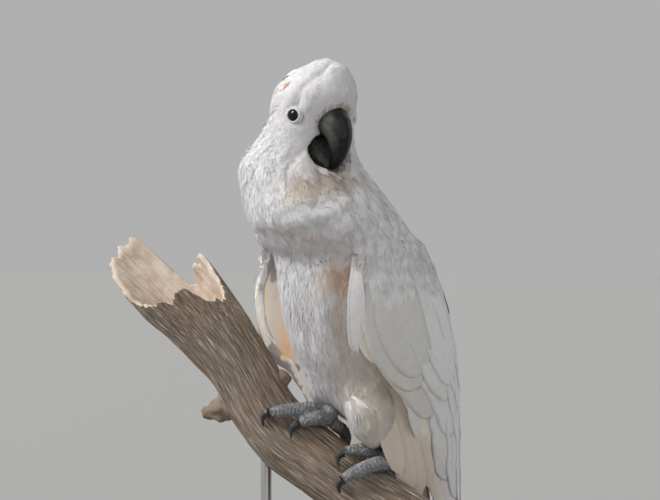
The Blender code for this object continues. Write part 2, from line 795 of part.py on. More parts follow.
def make_thighs(plumage, parts, grown_body, grown_tail, grown_feet):
    """The feathered thighs, closing round the shanks."""
    for side, centre in THIGH_AT.items():
        thigh = add_sphere("thigh_" + side, 1.0, Vector(centre), plumage, parts)
        thigh.data.transform(Matrix.Diagonal((*THIGH_SIZE, 1.0)))
        for tool in (grown_body, grown_tail, grown_feet[side]):
            add_boolean(thigh, tool, "DIFFERENCE")


def make_stand(base_wood, steel, parts, tools, perch):
    """A flat round base and two upright rods into the perch."""
    mesh = bpy.data.meshes.new("stand_base")
    work = bmesh.new()
    bmesh.ops.create_cone(work, cap_ends=True, segments=BASE_SIDES, radius1=BASE_RADIUS * MM,
                          radius2=BASE_RADIUS * MM, depth=BASE_HEIGHT * MM)
    work.to_mesh(mesh)
    work.free()
    mesh.materials.append(base_wood)
    base = bpy.data.objects.new("stand_base", mesh)
    base.location = (0.0, 0.0, BASE_HEIGHT * 0.5 * MM)
    parts.objects.link(base)
    edge = base.modifiers.new("soft_edge", "BEVEL")
    edge.width = BASE_EDGE * MM
    edge.segments = 1
    edge.limit_method = "ANGLE"
    for name, place in zip(("stand_rod_tall", "stand_rod_short"), ROD_ALONG):
        centre, along, upper, _, radius = perch_axis(place)
        underside = centre.z - radius / math.hypot(along.x, along.y)
        top = underside + ROD_SOCKET
        for label, group, grow, start, material in (
                (name, parts, 0.0, GAP, steel), ("cut_" + name, tools, GAP, ROD_HOLE_START, None)):
            low = Vector((centre.x, centre.y, BASE_HEIGHT + start))
            high = Vector((centre.x, centre.y, top + grow))
            radii = (ROD_RADIUS + grow, ROD_RADIUS + grow)
            rod = tapered_tube(label, (low, high), radii, ROD_SIDES, material, group)
            if grow:
                add_boolean(perch, as_cutter(rod), "DIFFERENCE")


def main():
    """Build every piece."""
    clear_scene()
    parts = make_collection("salmon_crested_cockatoo")
    tools = make_collection("cutters")
    plumage = make_material("white_plumage", (0.86, 0.83, 0.82), 0.85)
    horn = make_material("black_horn", (0.035, 0.037, 0.04), 0.38)
    eye = make_material("dark_eye", (0.012, 0.009, 0.008), 0.08)
    scaly = make_material("grey_scaly_skin", (0.13, 0.135, 0.15), 0.6)
    claw = make_material("black_claw", (0.025, 0.025, 0.028), 0.35)
    wood = make_material("weathered_branch", (0.36, 0.28, 0.22), 0.9)
    base_wood = make_material("stand_base_wood", (0.09, 0.055, 0.035), 0.45)
    steel = make_material("stand_rod_steel", (0.55, 0.55, 0.56), 0.35, 1.0)

    head, neck, trunk, grown_body = make_flesh(plumage, parts, tools)
    make_crest(plumage, parts, grown_body)
    make_bill(horn, parts, tools, head, neck)
    make_eyes(eye, parts, tools, head)
    grown_tail = make_tail(plumage, parts, tools, grown_body)
    make_wings(plumage, parts, grown_body, grown_tail)
    perch = make_perch(wood, parts, tools)
    grown_feet = make_feet(scaly, claw, parts, tools, grown_body)
    make_thighs(plumage, parts, grown_body, grown_tail, grown_feet)
    make_stand(base_wood, steel, parts, tools, perch)


main()
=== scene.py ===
"""Looks of the salmon-crested cockatoo: skin, plumage, bill, eyes, feet, branch and stand.

Lengths are millimetres here and metres in the scene. The frame has +Z up; the body faces -Y, its
own left is +X, and the head is turned to its left.
"""
import math

import bmesh
import bpy
import numpy as np
from mathutils import Matrix, Vector, noise
from mathutils.bvhtree import BVHTree


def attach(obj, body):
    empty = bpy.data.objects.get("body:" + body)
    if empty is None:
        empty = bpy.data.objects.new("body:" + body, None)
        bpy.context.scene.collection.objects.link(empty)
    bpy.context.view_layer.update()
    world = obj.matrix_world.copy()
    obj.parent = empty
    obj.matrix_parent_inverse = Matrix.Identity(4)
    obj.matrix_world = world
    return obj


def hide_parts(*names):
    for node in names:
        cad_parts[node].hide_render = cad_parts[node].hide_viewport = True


MM = 0.001
UP = np.array((0.0, 0.0, 1.0))
DICE = np.random.default_rng(20)

# Camera: its azimuth from the bird's front towards its left, and the window it sees
CAMERA_AZIMUTH = 38.0
CAMERA_REACH = 3000.0
CAMERA_SIDE = -16.4
CAMERA_HEIGHT = 345.0
WINDOW_WIDTH = 541.2
SENSOR = 36.0

# Head: middle in plan, the way it faces, and where its features sit in its own directions
HEAD_AT = np.array((0.0, -48.0, 0.0))
HEAD_YAW = 76.0
HEAD_HEART = 452.0            # height of the middle of the skull
BILL_ROOT = (18.0, 0.0, 438.0)    # where the face feathers part: forward, left, height
EYE_FORWARD = 11.2
EYE_SIDE = 25.9
EYE_Z = 453.0
EYE_RADIUS = 6.9

SKIN_VOXEL = 2.4
SKIN_SMOOTHING = 8
SPREAD_TRIES = 9              # places tried for each square of the spacing, to spread feathers out


def facing(yaw):
    """Forward and left directions in plan of a thing turned by yaw degrees from -Y towards +X."""
    turn = math.radians(yaw)
    forward = np.array((math.sin(turn), -math.cos(turn), 0.0))
    left = np.array((math.cos(turn), math.sin(turn), 0.0))
    return forward, left


FORWARD, LEFT = facing(HEAD_YAW)


def head_point(forward, left, height):
    """A point given in the head's own directions."""
    return HEAD_AT + FORWARD * forward + LEFT * left + UP * height


def in_head(points):
    """Forward, left and height of points in the head's own directions."""
    offset = points - HEAD_AT
    return offset @ FORWARD, offset @ LEFT, points[:, 2]


def smoothstep(low, high, values):
    """Rise from 0 to 1 between low and high."""
    share = np.clip((np.asarray(values, float) - low) / (high - low), 0.0, 1.0)
    return share * share * (3.0 - 2.0 * share)


def unit(vectors):
    """Vectors brought to length one."""
    return vectors / np.maximum(np.linalg.norm(vectors, axis=-1, keepdims=True), 1e-9)


def ripple(points, size, seed):
    """Smooth noise from -1 to 1 at points, with features of the given size."""
    shift = Vector((seed * 7.31, seed * 3.17, seed * 5.93))
    return np.array([noise.noise(Vector(point) / size + shift) for point in points])


def new_object(name, mesh, material, stands_for=()):
    """Put a mesh in the scene as a piece on "root" that stands for some CAD nodes."""
    made = bpy.data.objects.new(name, mesh)
    bpy.context.scene.collection.objects.link(made)
    if material is not None:
        mesh.materials.clear()
        mesh.materials.append(material)
    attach(made, "root")
    if stands_for:
        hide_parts(*stands_for)
    return made


def node_mesh(name):
    """The mesh of a CAD node."""
    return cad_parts[name].data


def blend(colours, target_colour, share):
    """Draw colours towards a target colour by a share for each."""
    share = np.asarray(share)[:, None]
    return colours + (np.array(target_colour) - colours) * share


def square_to(vectors, ways):
    """Unit vectors with their part along the given ways taken out."""
    return unit(vectors - ways * np.sum(vectors * ways, axis=-1, keepdims=True))


def along_path(centres, outward):
    """A path along rows of centres: the centres, their ways and outward directions."""
    ways = unit(np.gradient(centres, axis=1))
    return centres, ways, square_to(np.broadcast_to(outward, centres.shape), ways)


def mesh_from(name, points, faces, smooth=True):
    """A mesh from points in millimetres."""
    mesh = bpy.data.meshes.new(name)
    mesh.from_pydata((np.asarray(points) * MM).tolist(), [], [list(face) for face in faces])
    mesh.update()
    if smooth:
        mesh.shade_smooth()
    return mesh


def grid_faces(rows, columns, closed=False):
    """Quads of a grid of rows by columns, closed round its columns if asked."""
    faces = []
    spans = columns if closed else columns - 1
    for row in range(rows - 1):
        for column in range(spans):
            after = (column + 1) % columns
            faces.append((row * columns + column, row * columns + after,
                          (row + 1) * columns + after, (row + 1) * columns + column))
    return faces


def tube_faces(rows, sides):
    """Quads of a closed tube, with a fan over each end; the two end points come last."""
    faces = grid_faces(rows, sides, closed=True)
    low = rows * sides
    for side in range(sides):
        after = (side + 1) % sides
        faces.append((low, after, side))
        faces.append((low + 1, (rows - 1) * sides + side, (rows - 1) * sides + after))
    return faces


def points_of(mesh):
    """A mesh's points in millimetres."""
    flat = np.empty(len(mesh.vertices) * 3, np.float32)
    mesh.vertices.foreach_get("co", flat)
    return flat.reshape(-1, 3).astype(float) / MM


def normals_of(mesh):
    """A mesh's normals at its points."""
    flat = np.empty(len(mesh.vertices) * 3, np.float32)
    mesh.vertices.foreach_get("normal", flat)
    return flat.reshape(-1, 3).astype(float)


def set_points(mesh, points):
    """Move a mesh's points to places in millimetres."""
    mesh.vertices.foreach_set("co", (points * MM).astype(np.float32).ravel())
    mesh.update()


def merged_copy(names, tops=(), cut=0.0, balls=()):
    """One mesh of copies of CAD nodes, of the tops of others above a cut, and of balls."""
    work = bmesh.new()
    for name in tops:
        work.from_mesh(node_mesh(name))
    if tops:
        bmesh.ops.remove_doubles(work, verts=work.verts, dist=0.02 * MM)
        every = work.verts[:] + work.edges[:] + work.faces[:]
        made = bmesh.ops.bisect_plane(work, geom=every, plane_co=(0.0, 0.0, cut * MM),
                                      plane_no=(0.0, 0.0, 1.0), clear_inner=True)
        rim = [part for part in made["geom_cut"] if isinstance(part, bmesh.types.BMEdge)]
        bmesh.ops.holes_fill(work, edges=rim, sides=0)
    for middle, radius in balls:
        place = Matrix.Translation(Vector(middle) * MM)
        bmesh.ops.create_icosphere(work, subdivisions=3, radius=radius * MM, matrix=place)
    for name in names:
        work.from_mesh(node_mesh(name))
    bmesh.ops.remove_doubles(work, verts=work.verts, dist=0.02 * MM)
    mesh = bpy.data.meshes.new("copy")
    work.to_mesh(mesh)
    work.free()
    return mesh


def remeshed(name, mesh, voxel, smoothing):
    """A closed even mesh round another one, smoothed."""
    carrier = bpy.data.objects.new(name, mesh)
    bpy.context.scene.collection.objects.link(carrier)
    shell = carrier.modifiers.new("even", "REMESH")
    shell.mode = "VOXEL"
    shell.voxel_size = voxel * MM
    soft = carrier.modifiers.new("soft", "SMOOTH")
    soft.factor = 0.5
    soft.iterations = smoothing
    graph = bpy.context.evaluated_depsgraph_get()
    result = bpy.data.meshes.new_from_object(carrier.evaluated_get(graph))
    bpy.data.objects.remove(carrier)
    result.name = name
    result.shade_smooth()
    return result


class Surface:
    """A mesh to lay feathers on: nearest points, normals and places spread over it."""

    def __init__(self, mesh, rise=0.0):
        self.mesh = mesh
        self.normals = normals_of(mesh)
        self.points = points_of(mesh) + self.normals * rise
        mesh.calc_loop_triangles()
        flat = np.empty(len(mesh.loop_triangles) * 3, np.int32)
        mesh.loop_triangles.foreach_get("vertices", flat)
        self.triangles = flat.reshape(-1, 3)
        self.corners = self.points[self.triangles]
        edges = self.corners[:, 1:] - self.corners[:, :1]
        self.areas = np.linalg.norm(np.cross(edges[:, 0], edges[:, 1]), axis=1) * 0.5
        self.tree = BVHTree.FromPolygons(self.points.tolist(), self.triangles.tolist())

    def raised(self, rise):
        """The same surface a little further out."""
        return Surface(self.mesh, rise)

    def nearest(self, points):
        """Nearest places on the surface and the smooth normals there."""
        places = np.empty((len(points), 3))
        normals = np.empty((len(points), 3))
        for i, point in enumerate(points):
            place, _, index, _ = self.tree.find_nearest(point)
            places[i] = place
            normals[i] = self.normals[self.triangles[index]].mean(axis=0)
        return places, unit(normals)

    def scatter(self, count, keep):
        """Random places over the surface, only where keep says so."""
        area = self.areas * keep(self.corners.mean(axis=1))
        picked = DICE.choice(len(area), size=count, p=area / area.sum())
        first, second = DICE.random(count), DICE.random(count)
        flip = first + second > 1.0
        first[flip], second[flip] = 1.0 - first[flip], 1.0 - second[flip]
        chosen = self.corners[picked]
        return (chosen[:, 0] + (chosen[:, 1] - chosen[:, 0]) * first[:, None]
                + (chosen[:, 2] - chosen[:, 0]) * second[:, None])

    def spread(self, spacing, keep):
        """Places over the surface, none nearer to another than spacing."""
        area = self.areas * keep(self.corners.mean(axis=1))
        tries = int(SPREAD_TRIES * area.sum() / spacing ** 2)
        taken = {}
        result = []
        for point in self.scatter(tries, keep):
            cell = tuple((point // spacing).astype(int))
            if near_taken(taken, cell, point, spacing):
                continue
            taken.setdefault(cell, []).append(point)
            result.append(point)
        return np.array(result)


def near_taken(taken, cell, point, spacing):
    """Whether a kept point lies nearer than spacing."""
    for i in (-1, 0, 1):
        for j in (-1, 0, 1):
            for k in (-1, 0, 1):
                for other in taken.get((cell[0] + i, cell[1] + j, cell[2] + k), ()):
                    gap = point - other
                    if gap[0] * gap[0] + gap[1] * gap[1] + gap[2] * gap[2] < spacing * spacing:
                        return True
    return False


class Nodes:
    """A material's node tree, with short ways to add and join nodes."""

    def __init__(self, name):
        self.material = bpy.data.materials.new(name)
        self.material.use_nodes = True
        self.tree = self.material.node_tree
        self.shader = self.tree.nodes["Principled BSDF"]

    def add(self, kind, inputs=(), **settings):
        """A new node with its properties and inputs set; a socket given as an input is linked."""
        node = self.tree.nodes.new(kind)
        for key, value in settings.items():
            setattr(node, key, value)
        for key, value in dict(inputs).items():
            self.put(node.inputs[key], value)
        return node

    def put(self, socket, value):
        """Set a socket to a value, or link another socket to it."""
        if isinstance(value, bpy.types.NodeSocket):
            self.tree.links.new(value, socket)
        elif isinstance(value, tuple) and len(value) == 3 and socket.type == "RGBA":
            socket.default_value = (*value, 1.0)
        else:
            socket.default_value = value

    def set(self, **inputs):
        """Set inputs of the shader; underscores stand for spaces."""
        for key, value in inputs.items():
            self.put(self.shader.inputs[key.replace("_", " ")], value)

    def place(self):
        """Where a point is in the object, in metres."""
        return self.add("ShaderNodeTexCoord").outputs["Object"]

    def tint(self):
        """The colour stored for each point."""
        return self.add("ShaderNodeAttribute", attribute_name="Tint").outputs["Color"]

    def stretched(self, vector, scale, turn=(0.0, 0.0, 0.0)):
        """A coordinate turned and scaled."""
        inputs = {"Vector": vector, "Scale": scale, "Rotation": turn}
        return self.add("ShaderNodeMapping", inputs, vector_type="TEXTURE").outputs[0]

    def noise(self, vector, scale, detail=4.0, roughness=0.55):
        """Noise of a size."""
        inputs = {"Vector": vector, "Scale": scale, "Detail": detail, "Roughness": roughness}
        return self.add("ShaderNodeTexNoise", inputs).outputs[0]

    def ramp(self, value, *stops):
        """Colours along a value."""
        node = self.add("ShaderNodeValToRGB", {"Fac": value})
        band = node.color_ramp
        while len(band.elements) < len(stops):
            band.elements.new(0.5)
        for element, (position, colour) in zip(band.elements, stops):
            element.position = position
            element.color = (*colour, 1.0)
        return node.outputs[0]

    def mix(self, share, first, second, blend="MIX"):
        """Two colours mixed."""
        node = self.add("ShaderNodeMix", data_type="RGBA", blend_type=blend)
        self.put(node.inputs[0], share)
        self.put(node.inputs[6], first)
        self.put(node.inputs[7], second)
        return node.outputs[2]

    def maths(self, operation, first, second=0.0):
        """One sum of two numbers."""
        node = self.add("ShaderNodeMath", operation=operation)
        self.put(node.inputs[0], first)
        self.put(node.inputs[1], second)
        return node.outputs[0]

    def span(self, value, low, high, to_low, to_high):
        """A number carried from one range to another."""
        inputs = {0: value, 1: low, 2: high, 3: to_low, 4: to_high}
        return self.add("ShaderNodeMapRange", inputs).outputs[0]

    def bump(self, height, strength, distance, below=None):
        """Relief from a height, over another relief if given."""
        inputs = {"Height": height, "Strength": strength, "Distance": distance * MM}
        if below is not None:
            inputs["Normal"] = below
        return self.add("ShaderNodeBump", inputs).outputs[0]


def grey(value):
    """A neutral colour."""
    return (value, value, value)


def plumage_material(name, barb_size, relief, painted_glow=0.0):
    """White feather: the piece's own tint, faint mottling, and fine barbs across each vane; it can
    also glow in its own colour, painted light that stands in for light from a wing's far side."""
    made = Nodes(name)
    tint = made.tint()
    mottle = made.noise(made.place(), 160.0)
    shade = made.ramp(mottle, (0.3, (0.93, 0.925, 0.93)), (0.62, grey(1.0)))
    vane = made.add("ShaderNodeUVMap", uv_map="Vane").outputs[0]
    parts = made.add("ShaderNodeSeparateXYZ", {0: vane})
    slant = made.maths("MULTIPLY", made.maths("ABSOLUTE", parts.outputs[0]), 3.0)
    line = made.maths("ADD", parts.outputs[1], slant)
    wave = made.maths("SINE", made.maths("MULTIPLY", line, 2.0 * math.pi / barb_size))
    quill = made.span(made.maths("ABSOLUTE", parts.outputs[0]), 0.0, 0.09, 1.0, 0.0)
    rough = made.maths("MULTIPLY", wave, made.span(mottle, 0.35, 0.7, 0.3, 1.0))
    relief_height = made.maths("ADD", rough, made.maths("MULTIPLY", quill, 2.0))
    colour = made.mix(1.0, tint, shade, "MULTIPLY")
    # painted light: a glow set here makes the feather emit its own colour, standing in for light
    # from the wing's far side
    if painted_glow:
        made.set(Emission_Color=colour, Emission_Strength=painted_glow)
    made.set(Base_Color=colour, Roughness=0.72,
             Normal=made.bump(relief_height, relief, 0.12), Subsurface_Weight=0.1,
             Subsurface_Scale=0.002, Sheen_Weight=0.18, Sheen_Roughness=0.5)
    return made.material


def stage_material():
    """Plain pale floor."""
    made = Nodes("pale_floor")
    made.set(Base_Color=(0.34, 0.34, 0.34), Roughness=0.9)
    return made.material


def bill_material():
    """Horn of the bill: its own tint with a powdery bloom in patches and fine scratches."""
    made = Nodes("bill_horn")
    place = made.place()
    tint = made.tint()
    patches = made.noise(place, 260.0, 6.0, 0.65)
    scratches = made.noise(made.stretched(place, (0.004, 0.004, 0.0007)), 6.0, 4.0)
    bloom = made.ramp(patches, (0.34, grey(0.62)), (0.55, grey(1.0)), (0.72, grey(1.7)))
    level = made.add("ShaderNodeRGBToBW", {"Color": tint}).outputs[0]
    made.set(Base_Color=made.mix(1.0, tint, bloom, "MULTIPLY"),
             Roughness=made.span(level, 0.01, 0.08, 0.24, 0.52), Specular_IOR_Level=0.3,
             Normal=made.bump(scratches, 0.25, 0.2))
    return made.material


def claw_material():
    """Horn of the claws: near black, with a powdery bloom in patches and fine scratches."""
    made = Nodes("claw_horn")
    place = made.place()
    patches = made.noise(place, 120.0, 5.0)
    scratches = made.noise(made.stretched(place, (0.004, 0.004, 0.0007)), 6.0, 4.0)
    powder = made.maths("MULTIPLY", made.span(patches, 0.35, 0.65, 0.0, 1.0),
                        made.span(scratches, 0.3, 0.7, 0.55, 1.0))
    colour = made.mix(powder, (0.02, 0.02, 0.022), (0.07, 0.07, 0.075))
    made.set(Base_Color=colour, Roughness=made.span(powder, 0.0, 1.0, 0.32, 0.6),
             Normal=made.bump(scratches, 0.25, 0.2))
    return made.material


def eye_material():
    """Dark wet eye."""
    made = Nodes("dark_eye")
    made.set(Base_Color=(0.006, 0.004, 0.004), Roughness=0.06, Specular_IOR_Level=0.32)
    return made.material


def lid_material():
    """Bare bluish-white skin with fine creases."""
    made = Nodes("eye_skin")
    creases = made.noise(made.place(), 900.0, 3.0)
    colour = made.ramp(creases, (0.35, (0.50, 0.50, 0.53)), (0.65, (0.78, 0.77, 0.78)))
    made.set(Base_Color=colour, Roughness=0.55, Normal=made.bump(creases, 0.5, 0.2))
    return made.material


def foot_material():
    """Grey scaly skin: scales with dark seams and pale dusty rims."""
    made = Nodes("grey_scaly_skin")
    place = made.place()
    cells = made.add("ShaderNodeTexVoronoi", {"Vector": place, "Scale": 560.0},
                     feature="DISTANCE_TO_EDGE").outputs[0]
    dust = made.noise(place, 500.0, 5.0)
    slow = made.noise(place, 90.0, 3.0)
    base = made.ramp(slow, (0.3, (0.15, 0.153, 0.163)), (0.7, (0.30, 0.303, 0.313)))
    seam = made.ramp(cells, (0.0, grey(0.35)), (0.10, grey(1.55)), (0.26, grey(0.9)))
    speck = made.ramp(dust, (0.42, grey(0.8)), (0.66, grey(1.5)))
    colour = made.mix(1.0, made.mix(1.0, base, seam, "MULTIPLY"), speck, "MULTIPLY")
    made.set(Base_Color=colour, Roughness=0.62,
             Normal=made.bump(made.span(cells, 0.0, 0.3, 0.0, 1.0), 0.9, 0.5))
    return made.material


# Folds pressed into the plumage: points along each as across the view and height, then its width
# and its height over the skin, below zero for a crease
FOLDS = (
    (((-16, 496), (-29, 486), (-38.5, 474.5), (-42.5, 462)), 2.6, -2.3),
    (((-20, 499), (-34, 487), (-45, 473), (-50, 464)), 5, 1.6),
    (((-27, 476), (-32, 466), (-36, 456)), 2.4, 0.8),
    (((-32, 430), (-43, 420), (-49.5, 409), (-50, 394), (-43, 381)), 3, -1.5),
    (((-34, 424), (-41, 411), (-42, 396), (-36, 384)), 9, 2.2),
    (((-25, 409), (-23, 394), (-28, 383)), 2.5, -1.3),
    (((-11, 412), (-4, 398), (4, 386)), 2.8, -1.6),
    (((-4, 416), (6, 400), (12, 388)), 5, 1.6),
    (((-76, 377), (-57, 371), (-41, 377), (-16, 383), (4, 374)), 3.4, -1.2),
    (((-74, 383), (-55, 378), (-38, 384), (-14, 389), (8, 381)), 6, 1.1),
    (((-72, 357), (-45, 356), (-22, 363), (-2, 374), (14, 378)), 4, -1.5),
    (((-74, 366), (-46, 364), (-24, 370), (-6, 379)), 6.5, 1.5),
    (((-68, 343), (-41, 333), (-16, 341), (-3, 351), (5, 361)), 4.5, -1.6),
    (((-72, 350), (-43, 342), (-19, 350), (-4, 360)), 7, 1.8),
    (((-66, 425), (-76, 415), (-82, 400)), 4, -1.6),
    (((-55.5, 464), (-60, 459), (-66, 453)), 2.2, -1.3),
    (((-52, 470), (-60, 463.5)), 3, 0.9),
    (((-22, 497), (-33, 484), (-36, 470), (-37, 458)), 2.4, 0.8),
    (((-58, 440), (-63, 424), (-60, 408)), 2.6, -1.1),
    (((-66, 436), (-70, 424), (-69, 410)), 3, 0.9),
    (((-50, 428), (-56, 416), (-56, 402), (-50, 390)), 3, 0.9),
    (((-82, 392), (-66, 388), (-56, 391)), 3, -1.2),
    (((-2, 345), (-8, 310), (-6, 275), (-2, 240)), 6, -1.6),
    (((-46, 330), (-38, 290), (-30, 250), (-22, 225)), 5, -1),
    (((-28, 330), (-24, 290), (-16, 255)), 7, 1.2),
)

# Stains and painted shade: middle across the view, height and depth, reach the same three ways,
# colour and strength
WHITE = (0.88, 0.86, 0.865)
PEACH = (0.76, 0.48, 0.31)
SALMON = (0.93, 0.33, 0.15)
BUFF = (0.72, 0.55, 0.33)
BROWN = (0.36, 0.25, 0.15)
LILAC = (0.60, 0.57, 0.62)
GREY_BROWN = (0.50, 0.46, 0.42)
STAINS_AND_PAINTED_SHADE = (
    ((-9, 330, 50), (14, 11, 36), PEACH, 1),
    ((-6, 300, 56), (10, 34, 30), PEACH, 0.42),
    ((-30, 358, 60), (26, 5, 30), PEACH, 0.40),
    # painted shade on the left of the breast
    ((-42, 288, 50), (26, 44, 40), LILAC, 0.34),
    ((-20, 403, 60), (16, 9, 40), BROWN, 0.85),
    # the next two: painted shade in the hollow under the bill and cheek, over the brown throat
    # stains
    ((-41, 397, 60), (11, 10, 40), GREY_BROWN, 0.85),
    ((-18, 402, 60), (20, 9, 40), GREY_BROWN, 0.60),
    # painted shade on the left of the breast
    ((-36, 286, 50), (30, 40, 40), GREY_BROWN, 0.16),
    ((-38, 398, 60), (11, 12, 40), BUFF, 0.42),
    ((-62, 458, 40), (6, 4, 40), BROWN, 0.22),
    ((-14, 402, 60), (4, 10, 40), BROWN, 0.35),
    # the next three: painted warm shade on the left wing and below it, the side turned from the key
    # light
    ((34, 240, 20), (30, 60, 80), BUFF, 0.26),
    ((34, 262, 20), (28, 62, 80), GREY_BROWN, 0.40),
    ((34, 150, 20), (40, 60, 80), BUFF, 0.34),
    ((-4, 398, 60), (5, 16, 40), BROWN, 0.25),
    ((10, 232, 40), (14, 24, 40), BUFF, 0.45),
    ((-12, 250, 50), (7, 26, 40), BUFF, 0.30),
    # the next two: painted shade low on the belly, between the thighs
    ((-22, 226, 40), (20, 16, 60), LILAC, 0.25),
    ((6, 214, 40), (18, 22, 60), GREY_BROWN, 0.50),
    ((-26, 314, 60), (5, 3, 20), BROWN, 0.12),
)
BODY_RIPPLES = ((0.5, 14.0, 1), (0.45, 5.5, 2))    # unevenness: height, size and seed
FACE_RIPPLE = (0.28, 3.6, 4)
REGAIN = 1.0                  # what smoothing takes off the head, given back
REGAIN_BODY = 0.5             # and off all of the bird
EYE_SOCKET = 2.2              # the skin round an eye sinks this much
EYE_SOCKET_REACH = 9.6
MOUTH = ((4.0, 40.0), 20.0, (407.0, 441.0))    # forward, to either side, and heights of the gape
# near-black of the open mouth: its dark lining, with painted shadow inside the gape
MOUTH_DARK = (0.022, 0.018, 0.018)
BLEND_BELOW = 266.0           # the thighs melt into the belly under this height
BLEND_ROUNDS = 70
SHOULDER_CUT = 330.0          # above this height the plumage runs on over the tops of the wings
CROWN_FRONT = (14.0, 23.0)    # between these places across the view the laid-back crest comes
CROWN_DROP = 3.6              # to lie this much lower than the skull's full round
FLESH = ("head", "neck", "trunk", "thigh_left", "thigh_right")
NAPE = ((74, 403, 14), (66, 392, 17), (58, 378, 19), (50, 362, 20))
CREST_BALLS = 24              # balls under the crest, their first and last radius, the share of
CREST_BALL_RADII = (23.0, 12.0)     # its line they reach, and how deep under it they lie
CREST_FILL_END = 0.92
CREST_DEPTH = 1.0
CREST_STEP = 0.02             # step along the crest's line that gives its way
FACE_HEART = (22.0, 446.0)    # how far forward and how high the middle of the face lies
FACE_FADE = (26.0, 58.0)      # distances from it over which the face gives way
FACE_DEPTH = 1.0              # depth of the plumage over the skin on the face
BODY_DEPTH = 2.4              # and elsewhere
SEEN_SIDE = (-5.0, 20.0)      # the folds fade out over these depths, away from the camera's side
BILL_STAIN_REACH = 3.6        # brownish scruffy line round the root of the bill


def under_crest():
    """Balls that fill the head out to the underside of the crest, and the nape below it."""
    balls = [(head_point(-behind, 0.0, height), radius) for behind, height, radius in NAPE]
    shares = np.linspace(0.0, CREST_FILL_END, CREST_BALLS)
    for share, radius in zip(shares, np.linspace(*CREST_BALL_RADII, CREST_BALLS)):
        behind, height = crest_line(np.array((share, share + CREST_STEP)))
        run, rise = behind[1] - behind[0], height[1] - height[0]
        size = math.hypot(run, rise)
        inward = radius + CREST_DEPTH
        middle = head_point(-behind[0] - rise / size * inward, 0.0,
                            height[0] - run / size * inward)
        balls.append((middle, radius))
    return balls


def in_view(points):
    """Places across the camera's view, heights and depths towards the camera."""
    toward, right = facing(CAMERA_AZIMUTH)
    return points @ right, points[:, 2], points @ toward


def distance_to_line(across, height, line):
    """Distance in the view's plane from places to a line through the given points."""
    best = np.full(len(across), 1e9)
    for (x0, z0), (x1, z1) in zip(line, line[1:]):
        run, rise = x1 - x0, z1 - z0
        share = ((across - x0) * run + (height - z0) * rise) / (run * run + rise * rise)
        share = np.clip(share, 0.0, 1.0)
        best = np.minimum(best, np.hypot(across - x0 - share * run, height - z0 - share * rise))
    return best


def fold_height(points):
    """How far the folds lift or press the plumage at places on the camera's side of the bird."""
    across, height, depth = in_view(points)
    lift = np.zeros(len(points))
    for line, width, rise in FOLDS:
        gap = distance_to_line(across, height, line)
        lift += rise * np.exp(-(gap / width) ** 2)
    return lift * smoothstep(*SEEN_SIDE, depth)


def face_nearness(points):
    """1 on the face, falling to 0 on the nape and neck."""
    forward, left, height = in_head(points)
    ahead, level = FACE_HEART
    reach = np.sqrt((forward - ahead) ** 2 + (left * 0.9) ** 2 + ((height - level) * 0.9) ** 2)
    return 1.0 - smoothstep(*FACE_FADE, reach)


def coat_depth(points):
    """Depth of the plumage over the skin."""
    face = face_nearness(points)
    return FACE_DEPTH * face + BODY_DEPTH * (1.0 - face)


def plumage_colour(points):
    """Colour of the plumage at places: white with its stains and painted shade, the same on skin and
    feathers.
    """
    across, height, depth = in_view(points)
    colour = np.tile(np.array(WHITE), (len(points), 1))
    mottle = ripple(points, 9.0, 3)
    # stains, with painted shade on the breast, throat, belly and left wing
    for middle, reach, target_colour, strength in STAINS_AND_PAINTED_SHADE:
        far = (((across - middle[0]) / reach[0]) ** 2 + ((height - middle[1]) / reach[1]) ** 2
               + ((depth - middle[2]) / reach[2]) ** 2)
        share = strength * np.exp(-far) * (1.0 + 0.45 * mottle)
        colour = blend(colour, target_colour, np.clip(share, 0.0, 1.0))
    bill_gap = bill_distance(points)
    share = 0.8 * (1.0 - smoothstep(0.5, BILL_STAIN_REACH, bill_gap + 1.5 * mottle))
    colour = blend(colour, BROWN, share)
    eye_gap = np.minimum(eye_distance(points, 1.0), eye_distance(points, -1.0))
    share = 0.45 * (1.0 - smoothstep(EYE_RADIUS, EYE_RADIUS + 6.0, eye_gap))
    return blend(colour, LILAC, share)


def mouth_share(points):
    """1 inside the open mouth between the halves of the bill, 0 outside it."""
    forward, left, height = in_head(points)
    (near, far), wide, (low, high) = MOUTH
    level = (low + high) * 0.5
    reach = np.hypot(left / wide, (height - level) / (high - level))
    inside = smoothstep(near, near + 4.0, forward) * (forward < far)
    return inside * (1.0 - smoothstep(0.86, 1.04, reach))


def melt(points, triangles, share, rounds):
    """Smooth a mesh's points by rounds of averaging with their neighbours, where share says."""
    first = triangles[:, (0, 1, 2)].ravel()
    second = triangles[:, (1, 2, 0)].ravel()
    count = np.bincount(first, minlength=len(points))[:, None]
    for _ in range(rounds):
        total = np.stack([np.bincount(first, points[second, k], minlength=len(points))
                          for k in range(3)], axis=1)
        points = points + (total / np.maximum(count, 1) - points) * (0.6 * share[:, None])
    return points


def eye_centre(side):
    """Middle of the eye on the left (side 1) or right (side -1)."""
    return head_point(EYE_FORWARD, side * EYE_SIDE, EYE_Z)


def eye_distance(points, side):
    """Distance from places to the middle of an eye."""
    return np.linalg.norm(points - eye_centre(side), axis=1)


def bill_distance(points):
    """Distance from places to the bill."""
    gaps = np.empty(len(points))
    for i, point in enumerate(points):
        gaps[i] = min(tree.find_nearest(point)[3] for tree in BILL_TREES)
    return gaps


def node_tree(name):
    """A searchable copy of a CAD node, in millimetres."""
    mesh = node_mesh(name)
    mesh.calc_loop_triangles()
    triangles = [tuple(face.vertices) for face in mesh.loop_triangles]
    return BVHTree.FromPolygons(points_of(mesh).tolist(), triangles)


def paint(mesh, colours):
    """Store a colour for each point, read by the plumage materials."""
    layer = mesh.color_attributes.get("Tint")
    if layer is None:
        layer = mesh.color_attributes.new("Tint", "FLOAT_COLOR", "POINT")
    data = np.ones((len(mesh.vertices), 4), np.float32)
    data[:, :3] = colours
    layer.data.foreach_set("color", data.ravel())


